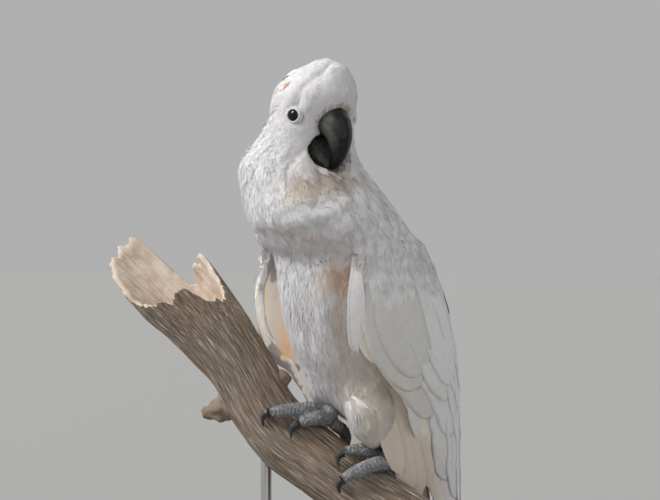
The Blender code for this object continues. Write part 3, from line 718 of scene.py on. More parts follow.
def plumage_form(name, cut):
    """A closed mesh round head, neck, trunk, thighs and the wings above a cut, under the plumage
    by its depth."""
    solid = merged_copy(FLESH + ("eye_left", "eye_right"), ("wing_left", "wing_right"), cut,
                        under_crest())
    mesh = remeshed(name, solid, SKIN_VOXEL, SKIN_SMOOTHING)
    low = Surface(mesh)
    share = 1.0 - smoothstep(BLEND_BELOW - 20.0, BLEND_BELOW, low.points[:, 2])
    set_points(mesh, melt(low.points, low.triangles, share, BLEND_ROUNDS))
    points = points_of(mesh)
    outward = normals_of(mesh)
    lift = fold_height(points) - coat_depth(points)
    lift += REGAIN * smoothstep(400.0, 420.0, points[:, 2]) + REGAIN_BODY
    face = face_nearness(points)
    for rise, size, seed in BODY_RIPPLES:
        lift += rise * (1.0 - face) * ripple(points, size, seed)
    rise, size, seed = FACE_RIPPLE
    lift += rise * face * ripple(points, size, seed)
    for side in (1.0, -1.0):
        lift -= EYE_SOCKET * np.exp(-(eye_distance(points, side) / EYE_SOCKET_REACH) ** 4)
    mouth = mouth_share(points)
    sunk = np.maximum(in_head(points)[0] - MOUTH[0][0], 0.0)
    points = points + outward * lift[:, None] - FORWARD * (sunk * mouth)[:, None]
    crown = smoothstep(CROWN_FRONT[0], CROWN_FRONT[1], -in_view(points)[0])
    points[:, 2] -= CROWN_DROP * crown * smoothstep(474.0, 490.0, points[:, 2])
    set_points(mesh, points)
    return mesh, mouth


def make_skin(plumage):
    """One skin for head, neck, trunk and thighs; and, for laying feathers, its form with the
    folded wings."""
    mesh, mouth = plumage_form("skin", SHOULDER_CUT)
    surface = Surface(mesh)
    # the open mouth is painted near black: its dark lining, with painted shadow inside the gape
    paint(mesh, blend(plumage_colour(surface.points), MOUTH_DARK, mouth))
    new_object("skin", mesh, plumage, FLESH)
    return surface, Surface(plumage_form("form", 0.0)[0])


# Plumage regions: spacing of the roots, length and half-width of a vane, its lift off the skin,
# its rows and columns of points, and how frayed its tip is
COAT = {
    "face": (1.8, 5, 1.5, 0.5, 3, 3, 0.3),
    "head": (2.5, 9, 2.3, 0.7, 4, 4, 0.35),
    "neck": (3.3, 16, 3.9, 0.9, 5, 5, 0.3),
    "body": (4.2, 26, 5.2, 0.8, 6, 5, 0.35),
}
# Loose barbs over the vanes: how many, length, half-width and lift
BARBS = {
    "face": (11000, 3.6, 0.16, 0.8),
    "head": (15000, 6, 0.20, 1),
    "neck": (22000, 10, 0.26, 1.5),
    "body": (24000, 14, 0.30, 1.6),
}
BARB_GRID = (4, 2)            # rows and columns of points in a loose barb
OWN_SHADING = 0.6             # how much a vane's own turn counts in its shading
PATCH = 0.003                 # size of a feather's patch in the OFBake map
HEAD_TOP_OF_NECK = 414.0      # the head's feathers grow above this height
NECK_FOOT = 338.0             # and the neck's above this one
BEHIND_FACE = (12.0, -28.0)   # feathers turn down between these places, forward of the head's middle
HEAD_TO_NECK = (398.0, 436.0)       # heights between which the body's way becomes the head's
DOWN_THE_BODY = (0.0, 0.22, -1.0)
LIE_WANDER = 0.28             # how far the way wanders
VANE_BEND = 0.8               # how far a vane's rise and fall has run at its tip, in half turns
TIP_ROUND = 0.4               # how far a tip's corners lie back, as a share of its last row
NEXT_ROUND = 0.15             # and those of the row before it


def lie(points, normals):
    """The way feathers lie at places: back from the bill on the head, down on the body."""
    forward, _, height = in_head(points)
    from_bill = unit(points - head_point(*BILL_ROOT))
    behind = smoothstep(*BEHIND_FACE, forward)[:, None]
    head = from_bill - UP * (0.15 + 0.9 * behind)
    body = np.tile(np.array(DOWN_THE_BODY), (len(points), 1))
    share = smoothstep(*HEAD_TO_NECK, height - 0.2 * forward)[:, None]
    way = unit(head) * share + unit(body) * (1.0 - share)
    turn = LIE_WANDER * ripple(points, 16.0, 5)
    way = way + np.cross(normals, way) * turn[:, None]
    return square_to(way, normals)


def region_share(points, region):
    """1 where a region's feathers grow, 0 elsewhere, with ragged borders between regions."""
    level = points[:, 2] + 6.0 * ripple(points, 8.0, 9)
    face = (face_nearness(points) > 0.55) & (level > HEAD_TOP_OF_NECK)
    if region == "face":
        return face.astype(float)
    if region == "head":
        return ((level > HEAD_TOP_OF_NECK) & ~face).astype(float)
    if region == "neck":
        return ((level <= HEAD_TOP_OF_NECK) & (level > NECK_FOOT)).astype(float)
    return (level <= NECK_FOOT).astype(float)


def unwrap(points):
    """Place of each point on the skin laid flat: its turn round the body and its way up it."""
    heart_y = np.interp(points[:, 2], (40.0, 200.0, 300.0, 356.0, 452.0),
                        (100.0, 46.0, 1.0, -18.0, HEAD_AT[1]))
    turn = np.arctan2(points[:, 0], heart_y - points[:, 1]) / (2.0 * math.pi) + 0.5
    climb = points[:, 2].copy()
    top = climb > HEAD_HEART
    off = points[top] - head_point(0.0, 0.0, HEAD_HEART)
    slope = np.arctan2(off[:, 2], np.hypot(off[:, 0], off[:, 1]))
    climb[top] = HEAD_HEART + 45.0 * slope
    return np.stack((turn, climb), axis=1)


def spread_over_map(places):
    """Stretch unwrapped places over most of the unit square."""
    low, high = places.min(axis=0), places.max(axis=0)
    return 0.02 + 0.96 * (places - low) / np.maximum(high - low, 1e-6)


def trail(surface, roots, ways, lengths, rows, steady=1.5):
    """Follow the surface from each root: centres, ways and normals of every row of each vane."""
    count = len(roots)
    centres = np.empty((count, rows, 3))
    directions = np.empty((count, rows, 3))
    outward = np.empty((count, rows, 3))
    place, normal = surface.nearest(roots)
    way = ways
    for row in range(rows):
        if row:
            step = lengths / (rows - 1)
            place, normal = surface.nearest(place + way * step[:, None])
        way = square_to(way, normal)
        centres[:, row] = place
        directions[:, row] = way
        outward[:, row] = normal
    outward = unit(outward + steady * unit(outward.mean(axis=1, keepdims=True)))
    directions = unit(directions + steady * unit(directions.mean(axis=1, keepdims=True)))
    return centres, directions, outward


def leaf_width(shares):
    """Half-width of a contour feather along its length, as a share of its widest."""
    return np.minimum(1.0, 0.45 + shares * 1.4) * np.sqrt(np.clip(1.0 - shares ** 3.2, 0.03, 1.0))


def vane_points(path, half_width, lift, columns, fray, profile, camber=0.12, sink=0.3):
    """Points of many vanes: a grid of rows along each and columns across it."""
    centres, ways, outward = path
    count, rows, _ = centres.shape
    along = np.linspace(0.0, 1.0, rows)
    across = np.linspace(-1.0, 1.0, columns)
    sides = unit(np.cross(ways, outward))
    rise = -sink + (lift[:, None] + sink) * np.sin(along[None, :] * VANE_BEND * math.pi)
    width = half_width[:, None] * profile(along)[None, :]
    step = np.linalg.norm(centres[:, -1] - centres[:, -2], axis=1)
    ragged = fray * DICE.random((count, columns))
    points = np.empty((count, rows, columns, 3))
    for column, t in enumerate(across):
        drop = rise - camber * width * t * t
        reach = np.zeros((count, rows))
        reach[:, -1] = -step * (ragged[:, column] + TIP_ROUND * t * t)
        reach[:, -2] = -step * NEXT_ROUND * t * t
        points[:, :, column] = (centres + outward * drop[..., None]
                                + sides * (width * t)[..., None] + ways * reach[..., None])
    return points


def vane_mesh(name, points, colours, map_places, lengths, outward):
    """One joined mesh of all vanes, with their tint, their bake map and their own directions."""
    count, rows, columns, _ = points.shape
    per = rows * columns
    quads = np.array(grid_faces(rows, columns))
    faces = (np.arange(count)[:, None, None] * per + quads[None]).reshape(-1, 4)
    mesh = bpy.data.meshes.new(name)
    mesh.vertices.add(count * per)
    set_points(mesh, points.reshape(-1, 3))
    mesh.loops.add(faces.size)
    mesh.loops.foreach_set("vertex_index", faces.astype(np.int32).ravel())
    mesh.polygons.add(len(faces))
    mesh.polygons.foreach_set("loop_start", np.arange(0, faces.size, 4, dtype=np.int32))
    mesh.update(calc_edges=True)
    mesh.shade_smooth()
    paint(mesh, np.repeat(colours, per, axis=0))
    along = np.repeat(np.linspace(0.0, 1.0, rows), columns)
    across = np.tile(np.linspace(-1.0, 1.0, columns), rows)
    patch = np.stack((across * 0.5, along - 0.5), axis=1) * PATCH
    baked = (map_places[:, None] + patch[None]).reshape(-1, 2)
    own = np.stack((np.tile(across, count), np.repeat(lengths, per) * np.tile(along, count)),
                   axis=1)
    corners = faces.ravel()
    for label, values in (("OFBake", baked), ("Vane", own)):
        layer = mesh.uv_layers.new(name=label)
        layer.data.foreach_set("uv", values[corners].astype(np.float32).ravel())
    if outward is not None:
        soften(mesh, np.repeat(outward, columns, axis=1).reshape(-1, 3))
    return mesh


def soften(mesh, outward):
    """Turn the shading of vanes most of the way to that of the form they lie on."""
    own = normals_of(mesh)
    mesh.normals_split_custom_set_from_vertices(unit(own * OWN_SHADING + outward).tolist())


def shaded(colours, spread=0.05):
    """Colours with a small difference from feather to feather."""
    return colours * (1.0 - spread * DICE.random((len(colours), 1)))


def under_wing(points, outward):
    """Whether a folded wing lies over each place."""
    hidden = np.zeros(len(points), bool)
    for i, (point, normal) in enumerate(zip(points, outward)):
        start = Vector(point) + Vector(normal) * 1.0
        hidden[i] = point[2] < SHOULDER_CUT + 3.0 and any(
            tree.ray_cast(start, Vector(normal), 16.0)[0] for tree in WING_TREES)
    return hidden


def in_the_open(roots, normals):
    """Those roots and normals that no folded wing lies over."""
    seen = ~under_wing(roots, normals)
    return roots[seen], normals[seen]


def clear_of_face_parts(points):
    """1 away from the eyes and the bill, where feathers may root."""
    free = np.ones(len(points))
    for side in (1.0, -1.0):
        free[eye_distance(points, side) < EYE_RADIUS + 1.5] = 0.0
    forward, _, height = in_head(points)
    near = (forward > 0.0) & (height < 470.0) & (height > 400.0)
    gaps = bill_distance(points[near])
    free[np.flatnonzero(near)[gaps < 1.0]] = 0.0
    free[mouth_share(points) > 0.3] = 0.0
    return free


def make_coat(skin, form, material):
    """Contour feathers of the head, neck and body, region by region, with loose barbs over them."""
    for region, (spacing, length, half_width, lift, rows, columns, fray) in COAT.items():
        def keep(centres, region=region):
            return region_share(centres, region) * clear_of_face_parts(centres)

        under = form if region in ("neck", "body") else skin
        roots = in_the_open(*skin.nearest(skin.spread(spacing, keep)))
        lay_vanes("plumage_" + region, under, roots, (length, half_width, lift), (rows, columns),
                  fray, material)
        many, *size = BARBS[region]
        roots = in_the_open(*skin.nearest(skin.scatter(many, keep)))
        lay_vanes("barbs_" + region, under, roots, size, BARB_GRID, 0.0, material, twist=0.35)


def lay_vanes(name, surface, rooted, size, grid, fray, material, twist=0.16, sink=0.3):
    """One coat piece: vanes rooted at the given places, lying as the plumage lies there."""
    roots, normals = rooted
    length, half_width, lift = size
    rows, columns = grid
    count = len(roots)
    ways = lie(roots, normals)
    spin = DICE.normal(0.0, twist, count)[:, None]
    ways = unit(ways + np.cross(normals, ways) * spin)
    lengths = length * DICE.uniform(0.8, 1.2, count)
    path = trail(surface, roots, ways, lengths, rows)
    halves = half_width * DICE.uniform(0.8, 1.2, count)
    lifts = lift * DICE.uniform(0.2, 1.5, count)
    profile = leaf_width if columns > 2 else strand_width
    points = vane_points(path, halves, lifts, columns, fray, profile, sink=sink)
    colours = shaded(plumage_colour(roots))
    places = spread_over_map(unwrap(roots))
    mesh = vane_mesh(name, points, colours, places, lengths, path[2])
    return new_object(name, mesh, material)


def strand_width(shares):
    """Half-width of a single barb along its length, as a share of its widest."""
    return 1.0 - 0.85 * shares


# Large feathers of a folded wing. Each row: name, how many, then for its first and last feather
# the root's height and share from the wing's front edge to its back edge, the tip's height and
# share, and the half-width; then the lift off the wing of the row's first and last feather.
WING_ROWS_LEFT = (
    ("primaries", 7, (246, 0.05, 170, 0.08, 11.5), (262, 0.84, 64, 0.88, 11.5), (0.3, 1.0)),
    ("secondaries", 6, (326, 0.10, 204, 0.12, 17.0), (326, 0.88, 150, 0.92, 17.0), (0.6, 0.8)),
    ("greater_coverts", 5, (334, 0.10, 232, 0.12, 19.0), (334, 0.86, 192, 0.90, 19.0), (0.9, 1.1)),
    ("median_coverts", 4, (337, 0.16, 246, 0.20, 22.0), (337, 0.80, 228, 0.82, 22.0), (1.2, 1.4)),
    ("scapulars", 5, (340, 0.58, 290, 0.68, 10.0), (338, 0.86, 222, 0.90, 10.0), (1.8, 2.2)),
)
WING_ROWS_RIGHT = (
    ("primaries", 7, (232, 0.05, 176, 0.08, 11.0), (262, 0.84, 64, 0.88, 11.5), (0.3, 1.0)),
    ("secondaries", 6, (326, 0.10, 205, 0.10, 15.0), (326, 0.88, 150, 0.92, 16.0), (0.9, 1.3)),
    ("greater_coverts", 5, (334, 0.09, 240, 0.04, 13.0), (334, 0.86, 192, 0.90, 18.0), (1.4, 1.7)),
    ("median_coverts", 5, (337, 0.12, 262, 0.06, 13.0), (337, 0.82, 232, 0.84, 18.0), (1.8, 2.0)),
    ("scapulars", 5, (340, 0.58, 290, 0.68, 10.0), (338, 0.86, 222, 0.90, 10.0), (1.8, 2.2)),
)
# Lining of a wing's inner face, and its colours: middle across the view and height, reach both
# ways, colour and strength
WING_LINING = ("lining", 8, (336, 0.04, 250, 0.03, 11.0), (336, 0.66, 206, 0.50, 12.0), (1.3, 1.5))
PINK_GREY = (0.84, 0.75, 0.69)
YELLOW = (0.95, 0.84, 0.60)
ORANGE = (0.98, 0.66, 0.38)
LINING_STAINS = (
    ((-62, 312), (12, 34), PINK_GREY, 0.85),
    ((-70, 300), (3.5, 26), YELLOW, 0.85),
    ((-53, 262), (8, 24), ORANGE, 0.95),
    ((-38, 236), (7, 16), YELLOW, 0.6),
)
# Long feather along the left wing's front edge: its ends across the view and height, half-width,
# rise over the core, and how far its root sinks; then how far aside and behind its twin lies
FRONT_STRIP = (((6.0, 340.0), (5.4, 262.0)), 6.2, 2.8, 1.5)
STRIP_UNDER = (2.5, 0.7)
# Feathers of the back: name, how many, spread to either side, heights of roots and tips,
# half-width
MANTLE = (
    ("mantle_lower", 5, 14, 290, 196, 9.5),
    ("mantle_middle", 6, 18, 322, 240, 9.5),
    ("mantle_upper", 7, 21, 350, 284, 9),
)
MANTLE_ARCH = (5.0, 9.0)      # how much lower the outer ones root and how much higher they end
MANTLE_NARROWS = 0.35         # share by which they draw together towards their tips
MANTLE_ROUND = 0.01           # roundness of the back they lie on
MANTLE_RISE = 0.5             # height over the form, and depth of their roots below it
MANTLE_ROOT = 4.0
INNER_FACE = {1.0: (0.4, 0.8), -1.0: (0.0, 0.35)}    # how far inward a lined face turns
WING_CORE_IN = 2.4            # the wing's core lies this far inside its CAD face
SHOULDER_LOW = 316.0          # small feathers cover the wing above this height
SHOULDER_HIGH = 346.0         # up to this one, where the body's plumage goes on
SHOULDER_RISE = 0.5           # and lie this far over the form
SHOULDER_TURN = 0.1           # only where the wing faces outward by this much
SHOULDER_NEAR = 3.5           # and lies this near to the wing's own solid
SHOULDER_SPACING = 3.6
SHOULDER_VANE = (21.0, 4.6, 0.5)    # length, half-width and lift of a small feather there
SHOULDER_BARBS = 4500
SHOULDER_BARB = (11.0, 0.26, 0.7)   # and of a loose barb
VANE_THICK = 0.12             # thickness of a large feather
VANE_FOLLOWS = 0.9            # how closely it follows the form it lies on
FACE_ROWS = 70                # rows and columns of places read off a wing's face
FACE_COLUMNS = 40
VANE_ROWS = 14                # rows and columns of points in a large feather
VANE_COLUMNS = 9


class Face:
    """One face of a folded wing, as places by height and share from front edge to back edge."""

    def __init__(self, node, sign, inner):
        points = points_of(node_mesh(node))
        tree = node_tree(node)
        low, high = points[:, 2].min() + 1.5, points[:, 2].max() - 1.5
        self.heights = np.linspace(low, high, FACE_ROWS)
        self.grid = np.empty((FACE_ROWS, FACE_COLUMNS, 3))
        for row, height in enumerate(self.heights):
            near = points[np.abs(points[:, 2] - height) < 14.0]
            axis = np.array((0.0, (near[:, 1].min() + near[:, 1].max()) * 0.5, height))
            hits = {}
            for degrees in range(20, 182):
                hit = self.strike(tree, axis, sign, degrees, inner)
                if hit is not None:
                    hits[degrees] = hit
            turns = np.array(sorted(hits), float)
            places = np.array([hits[key] for key in sorted(hits)])
            wanted = np.linspace(turns[0], turns[-1], FACE_COLUMNS)
            for part in range(3):
                self.grid[row, :, part] = np.interp(wanted, turns, places[:, part])

    @staticmethod
    def strike(tree, axis, sign, degrees, inner):
        """Where a level ray at an angle from the bird's front meets the face."""
        angle = math.radians(degrees)
        out = Vector((sign * math.sin(angle), -math.cos(angle), 0.0))
        start = Vector(axis) if inner else Vector(axis) + out * 200.0
        hit = tree.ray_cast(start, out if inner else -out)[0]
        return None if hit is None else np.array(hit)

    def at(self, heights, shares):
        """Places on the face at heights and shares."""
        rows = np.interp(heights, self.heights, np.arange(FACE_ROWS))
        columns = np.clip(shares, 0.0, 1.0) * (FACE_COLUMNS - 1)
        row = np.minimum(rows.astype(int), FACE_ROWS - 2)
        column = np.minimum(columns.astype(int), FACE_COLUMNS - 2)
        up, over = (rows - row)[..., None], (columns - column)[..., None]
        low = self.grid[row, column] * (1 - over) + self.grid[row, column + 1] * over
        high = self.grid[row + 1, column] * (1 - over) + self.grid[row + 1, column + 1] * over
        return low * (1 - up) + high * up


def quill_width(shares):
    """Half-width of a long flight feather along its length, with a rounded tip."""
    return np.minimum(1.0, 0.3 + shares * 1.6) * np.sqrt(np.clip(1.0 - shares ** 7.0, 0.02, 1.0))


def eased(shares):
    """Shares along a feather drawn together towards its tip."""
    return shares * (1.6 - 0.6 * shares)


def flight_width(shares):
    """Half-width of a large wing or tail feather whose points draw together at its tip."""
    return quill_width(eased(shares))


def row_of_feathers(face, surface, row):
    """Paths of one row of large feathers over a wing: centres, ways and outward directions."""
    _, count, first, last, lifts = row
    share = np.linspace(0.0, 1.0, count)[:, None]
    ends = np.array(first, float) * (1 - share) + np.array(last, float) * share
    ends[:, 2] += DICE.uniform(-3.0, 3.0, count)
    along = eased(np.linspace(0.0, 1.0, VANE_ROWS))[None, :]
    heights = ends[:, :1] * (1 - along) + ends[:, 2:3] * along
    shares = ends[:, 1:2] * (1 - along) + ends[:, 3:4] * along
    centres = face.at(heights, shares)
    _, outward = surface.nearest(centres.reshape(-1, 3))
    outward = outward.reshape(centres.shape)
    ways = square_to(unit(np.gradient(centres, axis=1)), outward)
    lift = lifts[0] + (lifts[1] - lifts[0]) * share[:, 0]
    return (centres, ways, outward), ends[:, 4], lift


def big_vanes(name, path, halves, lift, material, surface, camber=0.05):
    """One piece of large feathers that follow the form they lie on."""
    centres, _, outward = path
    flat = vane_points(path, halves, lift * 0.0, VANE_COLUMNS, 0.1, flight_width, camber, sink=0.0)
    nearby, _ = surface.nearest(flat.reshape(-1, 3))
    height = np.sum((nearby.reshape(flat.shape) - flat) * outward[:, :, None], axis=3)
    along = np.linspace(0.0, 1.0, flat.shape[1])
    rise = lift[:, None] * (0.3 + 0.7 * np.sin(along[None, :] * 0.75 * math.pi))
    points = flat + outward[:, :, None] * (height * VANE_FOLLOWS + rise[:, :, None])[..., None]
    lengths = np.linalg.norm(centres[:, -1] - centres[:, 0], axis=1)
    roots = centres[:, 0]
    colours = plumage_colour(centres[:, centres.shape[1] // 2])
    places = spread_over_map(unwrap(roots))
    mesh = vane_mesh(name, points, shaded(colours, 0.03), places, lengths, outward)
    thick = new_object(name, mesh, material)
    solid = thick.modifiers.new("thickness", "SOLIDIFY")
    solid.thickness = VANE_THICK * MM
    return thick


def lining_colour(points, normals, sign):
    """Colour of a wing's core: white outside, warm on the face turned to the body."""
    across, height, _ = in_view(points)
    inner = smoothstep(*INNER_FACE[sign], -sign * normals[:, 0])
    colour = blend(plumage_colour(points), YELLOW, 0.35 * inner)
    if sign > 0.0:
        return colour
    for middle, reach, target_colour, strength in LINING_STAINS:
        far = ((across - middle[0]) / reach[0]) ** 2 + ((height - middle[1]) / reach[1]) ** 2
        colour = blend(colour, target_colour, strength * np.exp(-far) * inner)
    return colour


def feather_core(node, inset, sign=0.0):
    """A smooth core inside a feathered CAD node, tinted like its plumage."""
    mesh = remeshed("core_" + node, merged_copy((node,)), 2.0, 4)
    points = points_of(mesh)
    deeper = inset + 2.5 * smoothstep(SHOULDER_CUT + 4.0, SHOULDER_CUT + 12.0, points[:, 2])
    set_points(mesh, points - normals_of(mesh) * deeper[:, None])
    surface = Surface(mesh)
    if sign:
        paint(mesh, lining_colour(surface.points, surface.normals, sign))
    else:
        paint(mesh, plumage_colour(surface.points))
    return mesh, surface


def make_wing(side, sign, rows, form, white, soft, thin):
    """A folded wing: a thin core, its rows of large feathers, its lining and its shoulder."""
    node = "wing_" + side
    mesh, surface = feather_core(node, WING_CORE_IN, sign)
    # the core and the lining below share one material, which for the right wing glows: painted light
    new_object("core_" + node, mesh, thin, (node,))
    if sign > 0.0:
        make_front_strip(surface, white)
    face = Face(node, sign, inner=False)
    for row in rows:
        big_vanes(row[0] + "_" + side, *row_of_feathers(face, surface, row), white, surface)
    under = Face(node, sign, inner=True)
    path, halves, lift = row_of_feathers(under, surface, WING_LINING)
    lining = big_vanes("lining_" + side, path, halves, lift, thin, surface).data
    spots = points_of(lining)
    inward = np.tile(np.array((-sign, 0.0, 0.0)), (len(spots), 1))
    paint(lining, lining_colour(spots, inward, sign))
    make_shoulder(side, sign, form, soft)
    trim_above(mesh, SHOULDER_CUT + 7.0)


def make_shoulder(side, sign, form, material):
    """Small feathers that run from the body's plumage down over the top of a wing."""
    over = form.raised(SHOULDER_RISE)
    tree = node_tree("wing_" + side)

    def keep(centres):
        ragged = 7.0 * ripple(centres, 9.0, 12)
        level = centres[:, 2]
        level = (level + ragged > SHOULDER_LOW) & (level < SHOULDER_HIGH)
        chosen = (np.sign(centres[:, 0]) == sign) & level
        for i in np.flatnonzero(chosen):
            chosen[i] = tree.find_nearest(centres[i])[3] < SHOULDER_NEAR
        return chosen.astype(float)

    def facing_out(places):
        roots, normals = over.nearest(places)
        out = normals[:, 0] * sign > SHOULDER_TURN
        return roots[out], normals[out]

    lay_vanes("shoulder_" + side, over, facing_out(over.spread(SHOULDER_SPACING, keep)),
              SHOULDER_VANE, (5, 5), 0.25, material, sink=0.6)
    lay_vanes("barbs_shoulder_" + side, over, facing_out(over.scatter(SHOULDER_BARBS, keep)),
              SHOULDER_BARB, BARB_GRID, 0.0, material, twist=0.3)


def make_front_strip(surface, material):
    """The long white feather along the left wing's front edge."""
    toward, right = facing(CAMERA_AZIMUTH)
    (start, end), half, rise, sunk = FRONT_STRIP
    shares = np.linspace(0.0, 1.0, VANE_ROWS)
    across = start[0] + (end[0] - start[0]) * shares
    height = start[1] + (end[1] - start[1]) * shares
    depth = [seen_at(surface, *spot) @ toward for spot in zip(across, height)]
    even = np.polyval(np.polyfit(shares, depth, 2), shares)
    even = even + rise * smoothstep(0.0, 0.3, shares) - sunk * (1.0 - smoothstep(0.0, 0.2, shares))
    centres = (right * across[:, None] + UP * height[:, None] + toward * even[:, None])[None]
    _, ways, outward = along_path(centres, toward + right * 0.15)
    for name, back in (("front_strip", 0.0), ("front_strip_under", 1.0)):
        aside, behind = STRIP_UNDER
        path = (centres - back * (right * aside + toward * behind), ways, outward)
        loose_vanes(name, path, np.array((half,)), np.array((0.6,)), material, WHITE, fray=0.1)


def make_mantle(form, material):
    """Long feathers of the back that close the gap between the folded wings."""
    for name, count, spread, root, tip, half in MANTLE:
        side = np.linspace(-1.0, 1.0, count)[:, None]
        along = eased(np.linspace(0.0, 1.0, VANE_ROWS))[None, :]
        top, end = root - MANTLE_ARCH[0] * side ** 2, tip + MANTLE_ARCH[1] * side ** 2
        height = top * (1.0 - along) + end * along
        across = side * spread * (1.0 - MANTLE_NARROWS * along)
        deep = np.interp(height, *back_profile(form)) - MANTLE_ROUND * across ** 2
        deep += MANTLE_RISE - MANTLE_ROOT * (1.0 - smoothstep(0.0, 0.3, along))
        centres = np.stack((across, deep, height), axis=2)
        outward = np.stack((2.0 * MANTLE_ROUND * across, np.ones_like(across),
                            np.zeros_like(across)), axis=2)
        loose_vanes(name, along_path(centres, outward), np.full(count, half),
                    np.full(count, 0.5), material, WHITE, fray=0.1)


def back_profile(form):
    """Heights down the back and how far back the form reaches there, smoothed."""
    heights = np.linspace(170.0, 360.0, 39)
    reach = []
    for height in heights:
        near = form.points[(np.abs(form.points[:, 2] - height) < 3.0)
                           & (np.abs(form.points[:, 0]) < 30.0)]
        reach.append(near[:, 1].max())
    return heights, np.convolve(np.pad(reach, 3, mode="edge"), np.full(7, 1.0 / 7.0), "valid")


def trim_above(mesh, height):
    """Take away the part of a hidden core above a height."""
    work = bmesh.new()
    work.from_mesh(mesh)
    gone = [vert for vert in work.verts if vert.co.z > height * MM]
    bmesh.ops.delete(work, geom=gone, context="VERTS")
    work.to_mesh(mesh)
    work.free()


# Tail feathers: how many, spread of their roots and tips to either side, heights of roots and of
# the middle and outer tips, half-width
TAIL_FEATHERS = 12
TAIL_SPREAD = (13.0, 26.5)
TAIL_HEIGHTS = (214.0, 41.0, 50.0)
TAIL_HALF = 7.6
TAIL_COVERT_LOW = 150.0       # coverts grow above this height
TAIL_COVERT_SPACING = 4.6
TAIL_COVERT = (26.0, 5.4, 1.2)      # length, half-width and lift


def tail_path(middle, back):
    """Paths of the tail feathers over the tail's back (1) or front (-1)."""
    order = np.linspace(-1.0, 1.0, TAIL_FEATHERS)[:, None]
    along = eased(np.linspace(0.0, 1.0, VANE_ROWS))[None, :]
    tips = TAIL_HEIGHTS[1] + (TAIL_HEIGHTS[2] - TAIL_HEIGHTS[1]) * order ** 2
    height = TAIL_HEIGHTS[0] * (1.0 - along) + tips * along
    side = order * (TAIL_SPREAD[0] + (TAIL_SPREAD[1] - TAIL_SPREAD[0]) * along)
    deep = np.interp(height, middle[:, 0], middle[:, 1])
    centres = np.stack((side, deep, height), axis=2)
    return along_path(centres, np.array((0.0, back, 0.0)))


def make_tail(white, soft):
    """Twelve tail feathers in a narrow fan over a thin core, with coverts at their roots."""
    mesh, surface = feather_core("tail", 1.0)
    new_object("core_tail", mesh, white, ("tail",))
    points = points_of(node_mesh("tail"))
    heights = np.linspace(points[:, 2].min(), points[:, 2].max(), 24)
    middle = []
    for height in heights:
        near = points[np.abs(points[:, 2] - height) < 12.0]
        middle.append((height, (near[:, 1].min() + near[:, 1].max()) * 0.5))
    middle = np.array(middle)
    for name, back in (("tail_back", 1.0), ("tail_front", -1.0)):
        path = tail_path(middle, back)
        order = np.abs(np.linspace(-1.0, 1.0, TAIL_FEATHERS))
        lift = 0.3 + 0.8 * (1.0 - order if back > 0.0 else order)
        big_vanes(name, path, np.full(TAIL_FEATHERS, TAIL_HALF), lift, white, surface)

    def keep(centres):
        return (centres[:, 2] + 9.0 * ripple(centres, 12.0, 14) > TAIL_COVERT_LOW).astype(float)

    roots = in_the_open(*surface.nearest(surface.spread(TAIL_COVERT_SPACING, keep)))
    lay_vanes("tail_coverts", surface, roots, TAIL_COVERT, (6, 5), 0.4, soft)


TUFT_ROWS = 7
TUFT_HALF = 0.26

# Eyes: how far their sight turns forward, and the lids' rim round the ball
EYE_TURN = 20.0
LID_ROWS = (                  # distance along the sight, radius round it
    (3.6, 6.0),
    (5.3, 4.8),
    (6.1, 4.95),
    (6.45, 5.4),
    (6.2, 6.1),
    (5.3, 6.9),
    (3.5, 7.7),
)
LID_SIDES = 48
EYE_ROWS = 24
EYE_SIDES = 40

# Crest: its upper line along the head's middle plane as distance behind the head's middle and
# height, then its rows of long feathers: how many, share along that line of the middle and of the
# outer roots, length, half-width, spread to either side and lift
CREST_LINE = (
    (-22, 487), (-8, 494.5), (8, 496.7), (21, 492), (33, 481.5), (43, 468),
    (53.5, 454), (66, 441.5), (78, 431.5), (87, 422), (92, 412),
)
CREST_ROWS = (
    ("crest_lower", 11, 0.52, 0.46, 48, 5.6, 11, 0.5),
    ("crest_middle", 11, 0.30, 0.26, 44, 6.4, 19, 0.9),
    ("crest_upper", 11, 0.10, 0.16, 44, 6.6, 17, 1.2),
)
CREST_VANE_ROWS = 12
OUTER_SHORTER = 0.22          # share by which the outer feathers of a row are shorter
RUFF_DROOP = 1.2              # how far the tips of the loose feathers on the nape hang down
RIM_DEPTH = 40.0              # how near the camera the head's outline lies
# Loose feathers that stand off the nape: how many, length, half-width, where they root behind
# the head's middle, to its left and in height, and how they point back, out and up
RUFF = (110, 7.5, 0.3, (-78, -54), (-28, 16), (398, 426), (0.3, 0.55, 0.5))

# Salmon under-feathers that show where the crest parts: places of root and tip across the
# camera's view and their heights, half-width and lift
SALMON_PEEP = (
    ((-46.5, 480.6), (-53.5, 474.4), 0.95, 1.2),
    ((-48.5, 478.6), (-56.0, 471.6), 0.6, 1.0),
    ((-50.0, 480.0), (-54.5, 476.0), 0.5, 0.9),
)
# Flank feathers: root and tip across the view and height, half-width, how far back they lean
FLANK = (
    ((34, 250), (66, 148), 11, 31),
    ((29, 247), (59, 140), 11, 28),
    ((24, 243), (51, 144), 10, 24),
    ((19, 238), (42, 160), 9, 14),
)
FLANK_COLOUR = (0.70, 0.62, 0.53)
# White tufts that hang over the thigh: root and tip across the view and height, how many
# strands, spread at root and at tip, and how far they stand off
TUFTS = (
    ((0.5, 222), (-5.5, 188), 110, 1.8, 3.2, 6.5),
    ((4, 226), (17, 212), 60, 1.8, 4.2, 4),
)


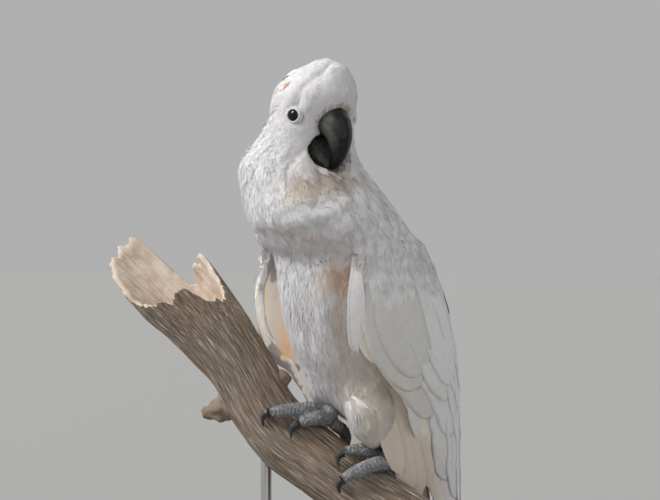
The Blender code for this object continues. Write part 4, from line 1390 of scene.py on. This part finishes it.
def make_eye(side, name, dark, lid):
    """An eyeball with its ring of bare lid."""
    centre = eye_centre(side)
    turn = math.radians(EYE_TURN)
    sight = LEFT * side * math.cos(turn) + FORWARD * math.sin(turn)
    across = unit(np.cross(UP, sight))
    points = []
    for polar in math.pi * np.arange(1, EYE_ROWS + 1) / (EYE_ROWS + 1):
        for angle in 2.0 * math.pi * np.arange(EYE_SIDES) / EYE_SIDES:
            around = across * math.cos(angle) + UP * math.sin(angle)
            points.append(centre + (sight * math.cos(polar) + around * math.sin(polar))
                          * EYE_RADIUS)
    points.append(centre + sight * EYE_RADIUS)
    points.append(centre - sight * EYE_RADIUS)
    ball = mesh_from(name, points, tube_faces(EYE_ROWS, EYE_SIDES))
    new_object(name + "_ball", ball, dark, (name,))
    rim = []
    for along, radius in LID_ROWS:
        for angle in 2.0 * math.pi * np.arange(LID_SIDES) / LID_SIDES:
            corner = 1.0 + 0.035 * math.cos(2.0 * angle)
            wrinkle = 0.10 * math.sin(11.0 * angle) + 0.06 * math.sin(23.0 * angle + 1.0)
            around = across * math.cos(angle) * corner + UP * math.sin(angle) * 0.97
            rim.append(centre + sight * (along + wrinkle * (along > 5.0)) + around * radius)
    mesh = mesh_from(name + "_lids", rim, grid_faces(len(LID_ROWS), LID_SIDES, closed=True))
    lids = new_object(name + "_lids", mesh, lid)
    smooth = lids.modifiers.new("smooth", "SUBSURF")
    smooth.levels = 1
    smooth.render_levels = 1


# Halves of the bill: voxel size, and the height and half-width of the ridge along the middle
BILL_HALVES = (("beak_upper", 0.6, 0.55, 2.2), ("beak_lower", 0.55, 0.25, 2.6))
GROWTH_LINE = 0.1             # height of the level growth lines, and depth of the flaked places
FLAKE = 0.14
BILL_GAIN = 0.25              # what smoothing takes off the horn, given back
BILL_SIDE = (0.085, 0.088, 0.080)     # powdery grey-green of the bill's sides
BILL_RIDGE = (0.004, 0.005, 0.005)    # polished black of its ridge and tip
BILL_LOWER = (0.068, 0.068, 0.058)
BILL_FRONT = (0.008, 0.011, 0.012)
BILL_SIDE_FROM = (5.0, 12.5)          # the sides begin this far from the middle
BILL_SIDE_HEIGHT = (420.0, 432.0)     # and this high
BILL_RIDGE_TOP = (440.0, 448.0)       # the polished ridge ends at these heights
BILL_TIP = (411.0, 422.0)             # and the polished tip at these


def bill_colour(points, upper):
    """Colour of the bill at places: powdery on its sides, black along its ridge and at its tip."""
    _, left, height = in_head(points)
    wander = 1.6 * ripple(points, 5.0, 23)
    if not upper:
        return np.array(BILL_LOWER) * (1.0 + 0.6 * ripple(points, 3.0, 24)[:, None])
    side = smoothstep(*BILL_SIDE_FROM, np.abs(left) + wander)
    side *= smoothstep(*BILL_SIDE_HEIGHT, height + wander)
    colour = blend(np.tile(BILL_FRONT, (len(points), 1)), BILL_SIDE, side)
    ridge = np.exp(-((left - 1.5) / 3.2) ** 2) * (1.0 - smoothstep(*BILL_RIDGE_TOP, height))
    tip = 1.0 - smoothstep(*BILL_TIP, height + wander)
    return blend(colour, BILL_RIDGE, np.clip(ridge + tip, 0.0, 1.0))


def make_bill(horn):
    """Both halves of the bill, smoothed from their solids, with a ridge, growth lines and flaked
    places.
    """
    for name, voxel, rise, reach in BILL_HALVES:
        upper = name == "beak_upper"
        mesh = remeshed(name + "_horn", merged_copy((name,)), voxel, 9)
        points, outward = points_of(mesh), normals_of(mesh)
        ridge = rise * np.exp(-(in_head(points)[1] / reach) ** 2)
        if upper:
            ridge *= smoothstep(0.1, 0.7, outward @ FORWARD * 0.8 + outward[:, 2] * 0.6)
        lines = GROWTH_LINE * ripple(points * np.array((1.0, 1.0, 2.6)), 3.2, 21)
        flakes = FLAKE * np.maximum(ripple(points, 1.6, 22) - 0.25, 0.0)
        set_points(mesh, points + outward * (ridge + lines - flakes + BILL_GAIN)[:, None])
        paint(mesh, bill_colour(points, upper))
        new_object(name + "_horn", mesh, horn, (name,))


# Feet: size and height of the scales, step and height of the rings across the toes, how much
# slimmer they are than their solids, and how far and how much each toe narrows at its claw
SCALE_SIZE = 2.1
SCALE_HEIGHT = 0.5
SCALE_SEAM = 0.28             # width of the seams, as a share of a scale
RING_STEP = 2.6
RING_HEIGHT = 0.22
FOOT_SLIM = 0.55
TOE_TAPER = (8.0, 2.2)
CLAW_GAIN = 0.05              # what smoothing takes off the claws, given back


def scales(points):
    """Height of the scales at places, from 0 in their seams to 1."""
    relief = np.empty(len(points))
    for i, point in enumerate(points):
        gaps = noise.voronoi(Vector(point) / SCALE_SIZE)[0]
        relief[i] = min(gaps[1] - gaps[0], SCALE_SEAM) / SCALE_SEAM
    return relief


def make_feet(scaly, horn):
    """Feet with raised scales, and smooth curved claws."""
    for side in ("left", "right"):
        name = "foot_" + side
        mesh = remeshed(name + "_scaled", merged_copy((name,)), 0.85, 6)
        points, outward = points_of(mesh), normals_of(mesh)
        creases = 0.35 * ripple(points, 5.0, 31)
        rings = RING_HEIGHT * np.sin(2.0 * math.pi * along_toes(points, side) / RING_STEP)
        lift = SCALE_HEIGHT * scales(points) - FOOT_SLIM + creases + rings
        set_points(mesh, points + outward * lift[:, None])
        claws = [node for node in sorted(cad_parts)
                 if node.startswith("claw_") and node.endswith(side)]
        taper_toes(mesh, claws)
        new_object(name + "_scaled", mesh, scaly, (name,))
        for node in claws:
            mesh = remeshed(node + "_horn", merged_copy((node,)), 0.5, 6)
            set_points(mesh, points_of(mesh) + normals_of(mesh) * CLAW_GAIN)
            new_object(node + "_horn", mesh, horn, (node,))


def along_toes(points, side):
    """How far places lie from the heart of a foot, wandering a little."""
    heart = points_of(node_mesh("foot_" + side)).mean(axis=0)
    return np.linalg.norm(points - heart, axis=1) + 0.8 * ripple(points, 4.0, 33)


def taper_toes(mesh, claws):
    """Narrow each toe towards its claw."""
    points, outward = points_of(mesh), normals_of(mesh)
    for node in claws:
        claw = points_of(node_mesh(node))
        middle = claw.mean(axis=0)
        foot_middle = points.mean(axis=0)
        root = claw[np.argsort(np.linalg.norm(claw - foot_middle, axis=1))[:8]].mean(axis=0)
        root = root + (root - middle) * 0.15
        near = np.exp(-(np.linalg.norm(points - root, axis=1) / TOE_TAPER[0]) ** 2)
        points = points - outward * (TOE_TAPER[1] * near)[:, None]
    set_points(mesh, points)


def crest_line(shares):
    """Places along the crest's upper line as distance behind the head's middle and height."""
    line = np.array(CREST_LINE)
    run = np.concatenate(((0.0,), np.cumsum(np.linalg.norm(np.diff(line, axis=0), axis=1))))
    marks = np.asarray(shares) * run[-1]
    return np.interp(marks, run, line[:, 0]), np.interp(marks, run, line[:, 1])


def crest_root(share, side):
    """A place on the crest's line, to one side, and the way the crest runs there."""
    behind, height = crest_line(share)
    next_behind, next_height = crest_line(np.minimum(share + CREST_STEP, 1.0))
    place = (HEAD_AT - FORWARD * behind[:, None] + LEFT * side[:, None] + UP * height[:, None])
    run, rise = next_behind - behind, next_height - height
    return place, unit(UP * rise[:, None] - FORWARD * run[:, None])


def loose_vanes(name, path, halves, lifts, material, colour, fray=0.14, sink=0.4):
    """One joined piece of long loose feathers of one colour along given paths."""
    points = vane_points(path, halves, lifts, 7, fray, quill_width, camber=0.10, sink=sink)
    return plain_vanes(name, path, points, 0.03, material, colour, None)


def plain_vanes(name, path, points, spread, material, colour, outward):
    """A piece of vanes in one colour that differs a little from feather to feather."""
    centres = path[0]
    colours = shaded(np.tile(np.array(colour), (len(centres), 1)), spread)
    lengths = np.linalg.norm(centres[:, -1] - centres[:, 0], axis=1)
    places = spread_over_map(unwrap(centres[:, 0]))
    mesh = vane_mesh(name, points, colours, places, lengths, outward)
    return new_object(name, mesh, material)


def seen_at(surface, across, height):
    """Where the camera's level line of sight meets a surface."""
    toward, right = facing(CAMERA_AZIMUTH)
    start = Vector(right * across + UP * height + toward * 400.0)
    hit = surface.tree.ray_cast(start, Vector(-toward))[0]
    if hit is None:
        hit = right * across + UP * height + toward * RIM_DEPTH
    return surface.nearest(np.array([hit]))[0][0]


def make_flank(skin, material):
    """Long soft feathers of the flank that hang between the thigh and the wing."""
    toward, right = facing(CAMERA_AZIMUTH)
    along = np.linspace(0.0, 1.0, CREST_VANE_ROWS)[:, None]
    lines = []
    for start, end, _, back in FLANK:
        drop = right * (end[0] - start[0]) + UP * (end[1] - start[1]) - toward * back
        lines.append(seen_at(skin, *start) - toward * 1.5 + drop * along
                     + toward * 2.5 * np.sin(along * math.pi))
    halves = np.array([line[2] for line in FLANK])
    loose_vanes("flank", along_path(np.array(lines), toward + right * 0.25), halves,
                np.full(len(FLANK), 0.6), material, FLANK_COLOUR)


def make_crest(skin, material):
    """The long crest laid back over the crown, the ruff below it, and its salmon underside."""
    for name, count, middle, outer, length, half, spread, lift in CREST_ROWS:
        order = np.linspace(-1.0, 1.0, count)
        share = middle + (outer - middle) * order ** 2
        roots, ways = crest_root(share, order * spread)
        lengths = length * (1.0 - OUTER_SHORTER * order ** 2) * DICE.uniform(0.93, 1.07, count)
        path = trail(skin, roots, ways, lengths, CREST_VANE_ROWS, steady=0.15)
        halves = half * DICE.uniform(0.9, 1.1, count)
        lifts = lift * DICE.uniform(0.7, 1.3, count)
        piece = loose_vanes(name, path, halves, lifts, material, WHITE)
    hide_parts("crest")
    make_ruff(skin, material)
    make_salmon_peep(skin, material)


def make_salmon_peep(skin, material):
    """The salmon feathers that show where the crest parts."""
    roots = np.array([seen_at(skin, *peep[0]) for peep in SALMON_PEEP])
    tips = np.array([seen_at(skin, *peep[1]) for peep in SALMON_PEEP])
    halves, lifts = np.array([peep[2:] for peep in SALMON_PEEP]).T
    path = trail(skin, roots, unit(tips - roots), np.linalg.norm(tips - roots, axis=1), 8)
    loose_vanes("crest_under", path, halves, lifts, material, SALMON, sink=-0.8)


def make_ruff(skin, material):
    """Loose pointed feathers that stand off the nape."""
    count, length, half, behind, aside, heights, (back, out, up) = RUFF
    places = (head_point(0.0, 0.0, 0.0) + FORWARD * DICE.uniform(*behind, (count, 1))
              + LEFT * DICE.uniform(*aside, (count, 1)) + UP * DICE.uniform(*heights, (count, 1)))
    roots, normals = skin.nearest(places)
    ways = unit(normals * out - FORWARD * back + UP * up * DICE.uniform(-1.0, 1.2, (count, 1)))
    along = np.linspace(0.0, 1.0, CREST_VANE_ROWS)[None, :, None]
    reach = length * DICE.uniform(0.6, 1.1, (count, 1, 1))
    centres = (roots - normals * 0.5)[:, None] + ways[:, None] * reach * along
    path = along_path(centres - UP * RUFF_DROOP * along ** 2, normals[:, None] + UP * 0.4)
    loose_vanes("nape_ruff", path, np.full(count, half), np.full(count, 0.2), material, WHITE,
                sink=0.0)


def make_tufts(skin, material):
    """Loose white strands that hang over the thigh."""
    toward, right = facing(CAMERA_AZIMUTH)
    for number, (start, end, count, at_root, at_tip, off) in enumerate(TUFTS):
        root = seen_at(skin, *start)
        tip = seen_at(skin, *end)
        along = np.linspace(0.0, 1.0, TUFT_ROWS)[None, :, None]
        from_root = DICE.normal(0.0, 1.0, (count, 1, 1)) * at_root
        at_end = DICE.normal(0.0, 1.0, (count, 1, 1)) * at_tip
        drop = DICE.uniform(0.7, 1.15, (count, 1, 1))
        bow = (off * np.sin(along * math.pi * 0.8) + 1.5) * DICE.uniform(0.3, 1.2, (count, 1, 1))
        path = along_path(root + (tip - root) * along * drop
                          + right * (from_root + (at_end - from_root) * along) + toward * bow,
                          toward)
        points = vane_points(path, np.full(count, TUFT_HALF), np.zeros(count), 2, 0.0,
                             strand_width, sink=0.0)
        plain_vanes("thigh_tuft_%d" % (number + 1), path, points, 0.1, material, WHITE, path[2])


# Perch: a bent length of branch in an upright plane, broken end first. Its rows are place along
# the plane, height and half-width, as in the solid.
PERCH_YAW = 18.0
PERCH_AT = np.array((4.7, 3.7, 0.0))
PERCH_ROWS = (
    (-158, 311, 35.5), (-123.5, 275, 29.5), (-101, 246, 26.5), (-81, 213, 26.5),
    (-60, 189.5, 27.5), (-34, 170, 26.5), (-4, 149.5, 26.5), (44, 121, 27),
    (84, 100, 27),
)
# Rim of the broken end: angle round the axis from its upper side towards the front, then height
# past the end of the axis
RIM = (
    (0, -19), (24, -37), (50, -31), (66, -10), (80, -8), (94, -13), (106, -4), (119, -1),
    (134, 6), (150, 15), (161, 31), (172, 46), (188, 58), (205, 66), (216, 63), (230, 73),
    (244, 68), (252, 74), (259, 66), (265, 30), (270, 5), (280, 3), (289, 9), (300, 14),
    (316, 8), (330, 14), (343, 9), (352, -8), (360, -19),
)
# Relief of the wood: height, fineness round the branch, length along it, and a shift of the noise
WOOD_LAYERS = ((0.75, 14.0, 60.0, 0.0), (0.4, 34.0, 26.0, 9.0), (1.5, 1.3, 38.0, 50.0))
CRACK_DEPTH = 1.1
CRACK_WIDTH = 0.16
GRAIN_TWIST = 0.0016          # turn of the grain in radians for each millimetre along
PERCH_SIDES = 168
PERCH_RINGS = 190
WALL = (4.0, 9.0)             # thickness of the broken end's wall at its rim and at its floor
HOLLOW = 47.0                 # depth of the hollow past the end of the axis
WALL_FOOT = 6.0               # the wall starts this far above the hollow's floor
RIM_ROUND = 1.2               # and ends this far below the rim
FLOOR_RINGS = (0.3, 0.62, 0.86)     # rings of the floor, as shares of its half-width
FLOOR_DIP = 5.0
INNER_ROWS = 26               # rings of the hollow's wall
RIM_OUTER_ROWS = 44           # and of the outside below the rim
RIM_FOOT = 52.0               # the broken end's outside runs down to here past the axis's end
# Broken twigs: place along the perch, reach along its plane, rise, thickness at foot, waist and
# tip, and the gnarl on them
TWIGS = (
    ("perch_knob", -88, -47, -16, (15, 11, 3.5), 3.2),
    ("perch_knob_spike", -120, -22, 1.5, (4.5, 3.2, 0.8), 0.5),
    ("perch_nub", -84, 22, 25, (10, 8, 5.5), 1.4),
)
TWIG_MARKS = (0.0, 0.7, 1.0)  # where along a twig its foot, waist and tip are
TWIG_ROWS = 26
TWIG_SIDES = 36


def perch_plane():
    """Directions along the perch's plane and out of its front."""
    turn = math.radians(PERCH_YAW)
    along = np.array((math.cos(turn), math.sin(turn), 0.0))
    return along, np.array((along[1], -along[0], 0.0))


def perch_track(count):
    """Centres, directions and half-widths along the perch's axis, read from a smooth curve."""
    rows = np.array(PERCH_ROWS)
    steps = np.hypot(np.diff(rows[:, 0]), np.diff(rows[:, 1]))
    marks = np.concatenate(((0.0,), np.cumsum(steps)))
    wanted = np.linspace(0.0, marks[-1], count)
    read = np.stack([smooth_read(wanted, marks, rows[:, k]) for k in range(3)], axis=1)
    plane, front = perch_plane()
    centres = PERCH_AT + plane * read[:, :1] + UP * read[:, 1:2]
    ways = unit(np.gradient(centres, axis=0))
    upper = unit(np.cross(front, ways))
    upper *= np.sign(upper[:, 2:])
    return centres, ways, upper, front, read[:, 2], wanted


def smooth_read(wanted, marks, values):
    """Read values from a smooth curve that passes the marks and never swings past its neighbours."""
    chords = np.diff(values) / np.diff(marks)
    slopes = np.concatenate((chords[:1], np.zeros(len(chords) - 1), chords[-1:]))
    product = chords[:-1] * chords[1:]
    total = chords[:-1] + chords[1:]
    steady = product > 0.0
    slopes[1:-1][steady] = 2.0 * product[steady] / total[steady]
    span = np.clip(np.searchsorted(marks, wanted, side="right") - 1, 0, len(chords) - 1)
    length = marks[span + 1] - marks[span]
    t = (wanted - marks[span]) / length
    return (values[span] * (2 * t ** 3 - 3 * t ** 2 + 1)
            + values[span + 1] * (3 * t ** 2 - 2 * t ** 3)
            + length * slopes[span] * (t ** 3 - 2 * t ** 2 + t)
            + length * slopes[span + 1] * (t ** 3 - t ** 2))


def wood_relief(angles, run):
    """Weathered fibres: ridges along the grain, deeper cracks, and slow lumps."""
    relief = np.empty(len(angles))
    for i, (angle, mark) in enumerate(zip(angles, run)):
        twist = angle + GRAIN_TWIST * mark
        relief[i] = sum(rise * noise.noise(around_axis(twist, fineness, mark / length + shift))
                        for rise, fineness, length, shift in WOOD_LAYERS)
        crack = noise.noise(around_axis(twist, 6.0, mark / 90.0 + 31.0))
        if crack > -0.1:
            relief[i] -= CRACK_DEPTH * max(0.0, 1.0 - abs(crack) / CRACK_WIDTH)
    return relief


def around_axis(angle, radius, mark):
    """A place on a circle round an axis, for noise that meets itself."""
    return Vector((math.cos(angle) * radius, math.sin(angle) * radius, mark))


def perch_outline(angles):
    """Shallow flutes round the perch, as a share of its half-width, as in the solid."""
    return 1.0 + 0.03 * np.sin(3.0 * angles + 0.8) + 0.015 * np.sin(7.0 * angles)


def rim_heights(angles):
    """Height of the broken rim at angles round the axis, with splinters."""
    rim = np.array(RIM, float)
    height = np.interp(np.degrees(angles), rim[:, 0], rim[:, 1])
    teeth = [noise.noise(around_axis(angle, 17.0, 4.0)) for angle in angles]
    fine = [noise.noise(around_axis(angle, 45.0, 8.0)) for angle in angles]
    return height + 3.2 * np.array(teeth) + 1.8 * np.array(fine)


def make_perch(wood, pale):
    """The branch: fluted weathered wood, and a hollow broken end of pale wood."""
    centres, ways, upper, front, widths, marks = perch_track(PERCH_RINGS)
    angles = 2.0 * math.pi * np.arange(PERCH_SIDES) / PERCH_SIDES
    around = (upper[:, None] * np.cos(angles)[None, :, None]
              + front[None, None] * np.sin(angles)[None, :, None])
    outline = perch_outline(angles)[None, :] * widths[:, None]
    spots = np.tile(angles, PERCH_RINGS)
    relief = wood_relief(spots, np.repeat(marks, PERCH_SIDES)).reshape(PERCH_RINGS, PERCH_SIDES)
    outer = centres[:, None] + around * (outline + relief)[..., None]
    rim = rim_heights(angles)
    first = end_rows(outer, marks, around, ways, rim)
    kept = marks > RIM_FOOT
    points = np.concatenate((first.reshape(-1, 3), outer[kept].reshape(-1, 3)))
    rows = len(first) + int(kept.sum())
    end = centres[-1] + ways[-1] * 0.5
    points = np.concatenate((points, first[0].mean(axis=0)[None], end[None]))
    mesh = mesh_from("perch_wood", points, tube_faces(rows, PERCH_SIDES))
    grain = mesh.uv_layers.new(name="Grain")
    turn = np.tile(angles / (2.0 * math.pi), rows)
    step = np.concatenate((np.linspace(-75.0, RIM_FOOT, len(first)), marks[kept]))
    along = np.repeat(step, PERCH_SIDES)
    turn = np.concatenate((turn, (0.5, 0.5)))
    along = np.concatenate((along, (along[0], along[-1])))
    corners = np.array([loop.vertex_index for loop in mesh.loops])
    grain.data.foreach_set("uv", np.stack((turn, along), axis=1)[corners].astype(np.float32).ravel())
    mesh.materials.append(wood)
    mesh.materials.append(pale)
    inner_rows = len(first) - RIM_OUTER_ROWS
    for face in mesh.polygons:
        row = min(face.vertices) // PERCH_SIDES
        face.material_index = 1 if row < inner_rows else 0
    new_object("perch_wood", mesh, None, ("perch",))
    make_twigs(wood)


def wall_ring(outer, marks, ways, heights):
    """Places on the perch's outside at a height of its own for each angle round the end."""
    step = np.interp(np.maximum(-heights, 0.0), marks, np.arange(len(marks)))
    low = np.minimum(step.astype(int), len(marks) - 2)
    share = (step - low)[:, None]
    spoke = np.arange(len(heights))
    ring = outer[low, spoke] * (1.0 - share) + outer[low + 1, spoke] * share
    return ring - ways[0] * np.maximum(heights, 0.0)[:, None]


def end_rows(outer, marks, around, ways, rim):
    """Rings of the broken end: the hollow's floor and wall, over the rim, and down outside."""
    result = []
    floor = wall_ring(outer, marks, ways, np.full(len(rim), -HOLLOW))
    middle = floor.mean(axis=0)
    for share in FLOOR_RINGS:
        result.append(middle + (floor - middle) * share * 0.8 - ways[0] * FLOOR_DIP * share)
    for k in range(INNER_ROWS):
        share = (k + 1) / INNER_ROWS
        thick = WALL[1] + (WALL[0] - WALL[1]) * share
        height = -(HOLLOW - WALL_FOOT) * (1.0 - share) + (rim - RIM_ROUND) * share
        scar = 0.5 * np.sin(np.arange(len(rim)) * 0.9 + height * 0.12)
        wall = wall_ring(outer, marks, ways, height)
        result.append(wall - around[0] * (thick + scar)[:, None])
    result.append(wall_ring(outer, marks, ways, rim) - around[0] * WALL[0] * 0.45)
    for k in range(RIM_OUTER_ROWS):
        share = k / RIM_OUTER_ROWS
        bark = 0.5 * np.sin(np.arange(len(rim)) * 1.7) * (1.0 - share)
        height = rim * (1.0 - share) - RIM_FOOT * share
        result.append(wall_ring(outer, marks, ways, height) + around[0] * bark[:, None])
    return np.array(result)


def make_twigs(wood):
    """Broken side twigs, gnarled."""
    plane, front = perch_plane()
    centres = perch_track(PERCH_RINGS)[0]
    places = (centres - PERCH_AT) @ plane
    for name, place, sideways, rise, widths, gnarl in TWIGS:
        index = int(np.argmin(np.abs(places - place)))
        start = centres[index]
        points = []
        reach = plane * sideways + UP * rise
        way = unit(reach)
        over = unit(np.cross(front, way))
        for share in np.arange(TWIG_ROWS) / (TWIG_ROWS - 1):
            width = np.interp(share, TWIG_MARKS, widths)
            for angle in 2.0 * math.pi * np.arange(TWIG_SIDES) / TWIG_SIDES:
                spot = (start + reach * share
                        + (over * math.cos(angle) + front * math.sin(angle)) * width)
                lump = noise.noise(Vector(spot) / 7.0) + 0.5 * noise.noise(Vector(spot) / 2.6)
                points.append(spot + unit(spot - start - reach * share) * lump * gnarl)
        points.append(start)
        points.append(start + reach * 1.02)
        mesh = mesh_from(name, points, tube_faces(TWIG_ROWS, TWIG_SIDES))
        new_object(name, mesh, wood)


def wood_material(name, pale):
    """Weathered branch wood: grey-brown fibres along the grain, or the pale wood of a break."""
    made = Nodes(name)
    if pale:
        place = made.place()
        blotch = made.noise(place, 60.0, 5.0)
        fine = made.noise(place, 700.0, 3.0)
        colour = made.ramp(blotch, (0.3, (0.48, 0.36, 0.27)), (0.5, (0.67, 0.56, 0.46)),
                           (0.7, (0.80, 0.72, 0.64)))
        made.set(Base_Color=made.mix(made.span(fine, 0.4, 0.7, 0.0, 0.25), colour,
                                     (0.30, 0.19, 0.11)),
                 Roughness=0.85, Normal=made.bump(fine, 0.35, 0.3))
        return made.material
    grain = made.add("ShaderNodeUVMap", uv_map="Grain").outputs[0]
    fibres = made.noise(made.stretched(grain, (0.0017, 22.0, 1.0)), 1.0, 7.0, 0.72)
    strands = made.noise(made.stretched(grain, (0.006, 50.0, 1.0)), 1.0, 5.0, 0.65)
    patches = made.noise(made.place(), 26.0, 4.0)
    tone = made.ramp(fibres, (0.36, (0.016, 0.011, 0.008)), (0.45, (0.130, 0.094, 0.064)),
                     (0.53, (0.35, 0.280, 0.215)), (0.62, (0.84, 0.77, 0.70)))
    warm = made.mix(made.span(patches, 0.44, 0.64, 0.0, 0.32), tone, (0.33, 0.19, 0.10))
    streak = made.ramp(strands, (0.36, grey(0.38)), (0.52, grey(1.0)), (0.66, grey(1.25)))
    height = made.maths("ADD", fibres, made.maths("MULTIPLY", strands, 0.8))
    made.set(Base_Color=made.mix(1.0, warm, streak, "MULTIPLY"), Roughness=0.86,
             Normal=made.bump(height, 0.9, 1.1))
    return made.material


def stand_materials():
    """Dark turned wood for the base and brushed steel for the rods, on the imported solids."""
    wood = Nodes("stand_base_wood")
    rings = wood.noise(wood.stretched(wood.place(), (0.30, 0.012, 0.03)), 1.0, 6.0, 0.6)
    tone = wood.ramp(rings, (0.35, (0.035, 0.019, 0.011)), (0.65, (0.12, 0.065, 0.036)))
    wood.set(Base_Color=tone, Roughness=wood.span(rings, 0.3, 0.7, 0.34, 0.46),
             Normal=wood.bump(rings, 0.15, 0.2), Coat_Weight=0.25, Coat_Roughness=0.2)
    steel = Nodes("stand_rod_steel")
    brush = steel.noise(steel.stretched(steel.place(), (0.0012, 0.0012, 0.05)), 1.0, 3.0)
    steel.set(Base_Color=steel.ramp(brush, (0.3, grey(0.46)), (0.7, grey(0.62))), Metallic=1.0,
              Roughness=steel.span(brush, 0.3, 0.7, 0.28, 0.42), Normal=steel.bump(brush, 0.1, 0.1))
    for node, material in (("stand_base", wood.material), ("stand_rod_tall", steel.material),
                           ("stand_rod_short", steel.material)):
        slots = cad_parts[node].material_slots
        for slot in slots:
            slot.material = material


FLOOR_REACH = 40.0
# Lights like wide soft boxes far off: name, direction they stand in to the camera's right,
# towards it and up, softness in degrees, strength and colour
LIGHTS = (
    ("key", (-1.0, 0.22, 0.85), 26.0, 2.7, (1.0, 0.99, 0.97)),
    ("fill", (0.5, 1.3, 0.4), 70.0, 0.46, (1.0, 0.98, 0.96)),
    ("back", (-0.6, -1.2, 0.9), 30.0, 0.7, (1.0, 0.99, 0.97)),
)
SKY = (0.80, 0.80, 0.80)
SKY_STRENGTH = 0.54


def make_stage():
    """Pale floor, soft lights and an even sky."""
    half = FLOOR_REACH / MM
    corners = [(-half, -half, 0.0), (half, -half, 0.0), (half, half, 0.0), (-half, half, 0.0)]
    mesh = mesh_from("floor", corners, [(0, 1, 2, 3)], smooth=False)
    mesh.materials.append(stage_material())
    floor = bpy.data.objects.new("floor", mesh)
    bpy.context.scene.collection.objects.link(floor)
    toward, right = facing(CAMERA_AZIMUTH)
    for name, (side, near, high), softness, strength, colour in LIGHTS:
        light = bpy.data.lights.new(name, "SUN")
        light.angle = math.radians(softness)
        light.energy = strength
        light.color = colour
        lamp = bpy.data.objects.new(name, light)
        stand = Vector(right * side + toward * near + UP * high)
        lamp.location = stand
        lamp.rotation_euler = (-stand).to_track_quat("-Z", "Y").to_euler()
        bpy.context.scene.collection.objects.link(lamp)
    world = bpy.data.worlds.new("sky")
    world.use_nodes = True
    sky = world.node_tree.nodes["Background"]
    sky.inputs["Color"].default_value = (*SKY, 1.0)
    sky.inputs["Strength"].default_value = SKY_STRENGTH
    bpy.context.scene.world = world
    bpy.context.scene.view_settings.view_transform = "Standard"


def make_camera():
    """The camera ahead of the bird and to its left, level with it, a few steps away."""
    toward, right = facing(CAMERA_AZIMUTH)
    lens = bpy.data.cameras.new("camera")
    lens.sensor_width = SENSOR
    lens.lens = SENSOR * CAMERA_REACH / WINDOW_WIDTH
    camera = bpy.data.objects.new("camera", lens)
    place = right * CAMERA_SIDE + toward * CAMERA_REACH + UP * CAMERA_HEIGHT
    camera.location = Vector(place * MM)
    camera.rotation_euler = (math.radians(90.0), 0.0, math.radians(CAMERA_AZIMUTH))
    bpy.context.scene.collection.objects.link(camera)
    bpy.context.scene.camera = camera


def write_sizes():
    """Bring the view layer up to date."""
    bpy.context.view_layer.update()


def main():
    """Build the whole visual model."""
    make_camera()
    make_stage()
    white = plumage_material("white_plumage", 0.55, 0.35)
    skin, form = make_skin(white)
    make_coat(skin, form, white)
    flight = plumage_material("flight_feather", 0.9, 0.25)
    # this feather glows by emission: painted light on the right wing's core and lining
    thin = plumage_material("glowing_flight_feather", 0.9, 0.25, painted_glow=0.28)
    make_wing("left", 1.0, WING_ROWS_LEFT, form, flight, white, flight)
    make_wing("right", -1.0, WING_ROWS_RIGHT, form, flight, white, thin)
    make_mantle(form, flight)
    make_tail(flight, white)
    make_crest(skin, flight)
    make_tufts(skin, white)
    make_flank(skin, flight)
    for side, name in ((1.0, "eye_left"), (-1.0, "eye_right")):
        make_eye(side, name, eye_material(), lid_material())
    make_bill(bill_material())
    make_feet(foot_material(), claw_material())
    make_perch(wood_material("weathered_branch", False), wood_material("broken_wood", True))
    stand_materials()


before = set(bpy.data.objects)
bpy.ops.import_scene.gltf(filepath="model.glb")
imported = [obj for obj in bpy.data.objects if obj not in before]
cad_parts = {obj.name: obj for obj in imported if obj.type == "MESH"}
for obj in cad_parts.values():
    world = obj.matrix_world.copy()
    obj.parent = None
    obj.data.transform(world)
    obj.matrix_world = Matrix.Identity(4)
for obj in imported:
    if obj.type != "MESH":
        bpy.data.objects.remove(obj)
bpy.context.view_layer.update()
BILL_TREES = [node_tree(name) for name in ("beak_upper", "beak_lower")]
WING_TREES = [node_tree(name) for name in ("wing_left", "wing_right")]
main()
write_sizes()
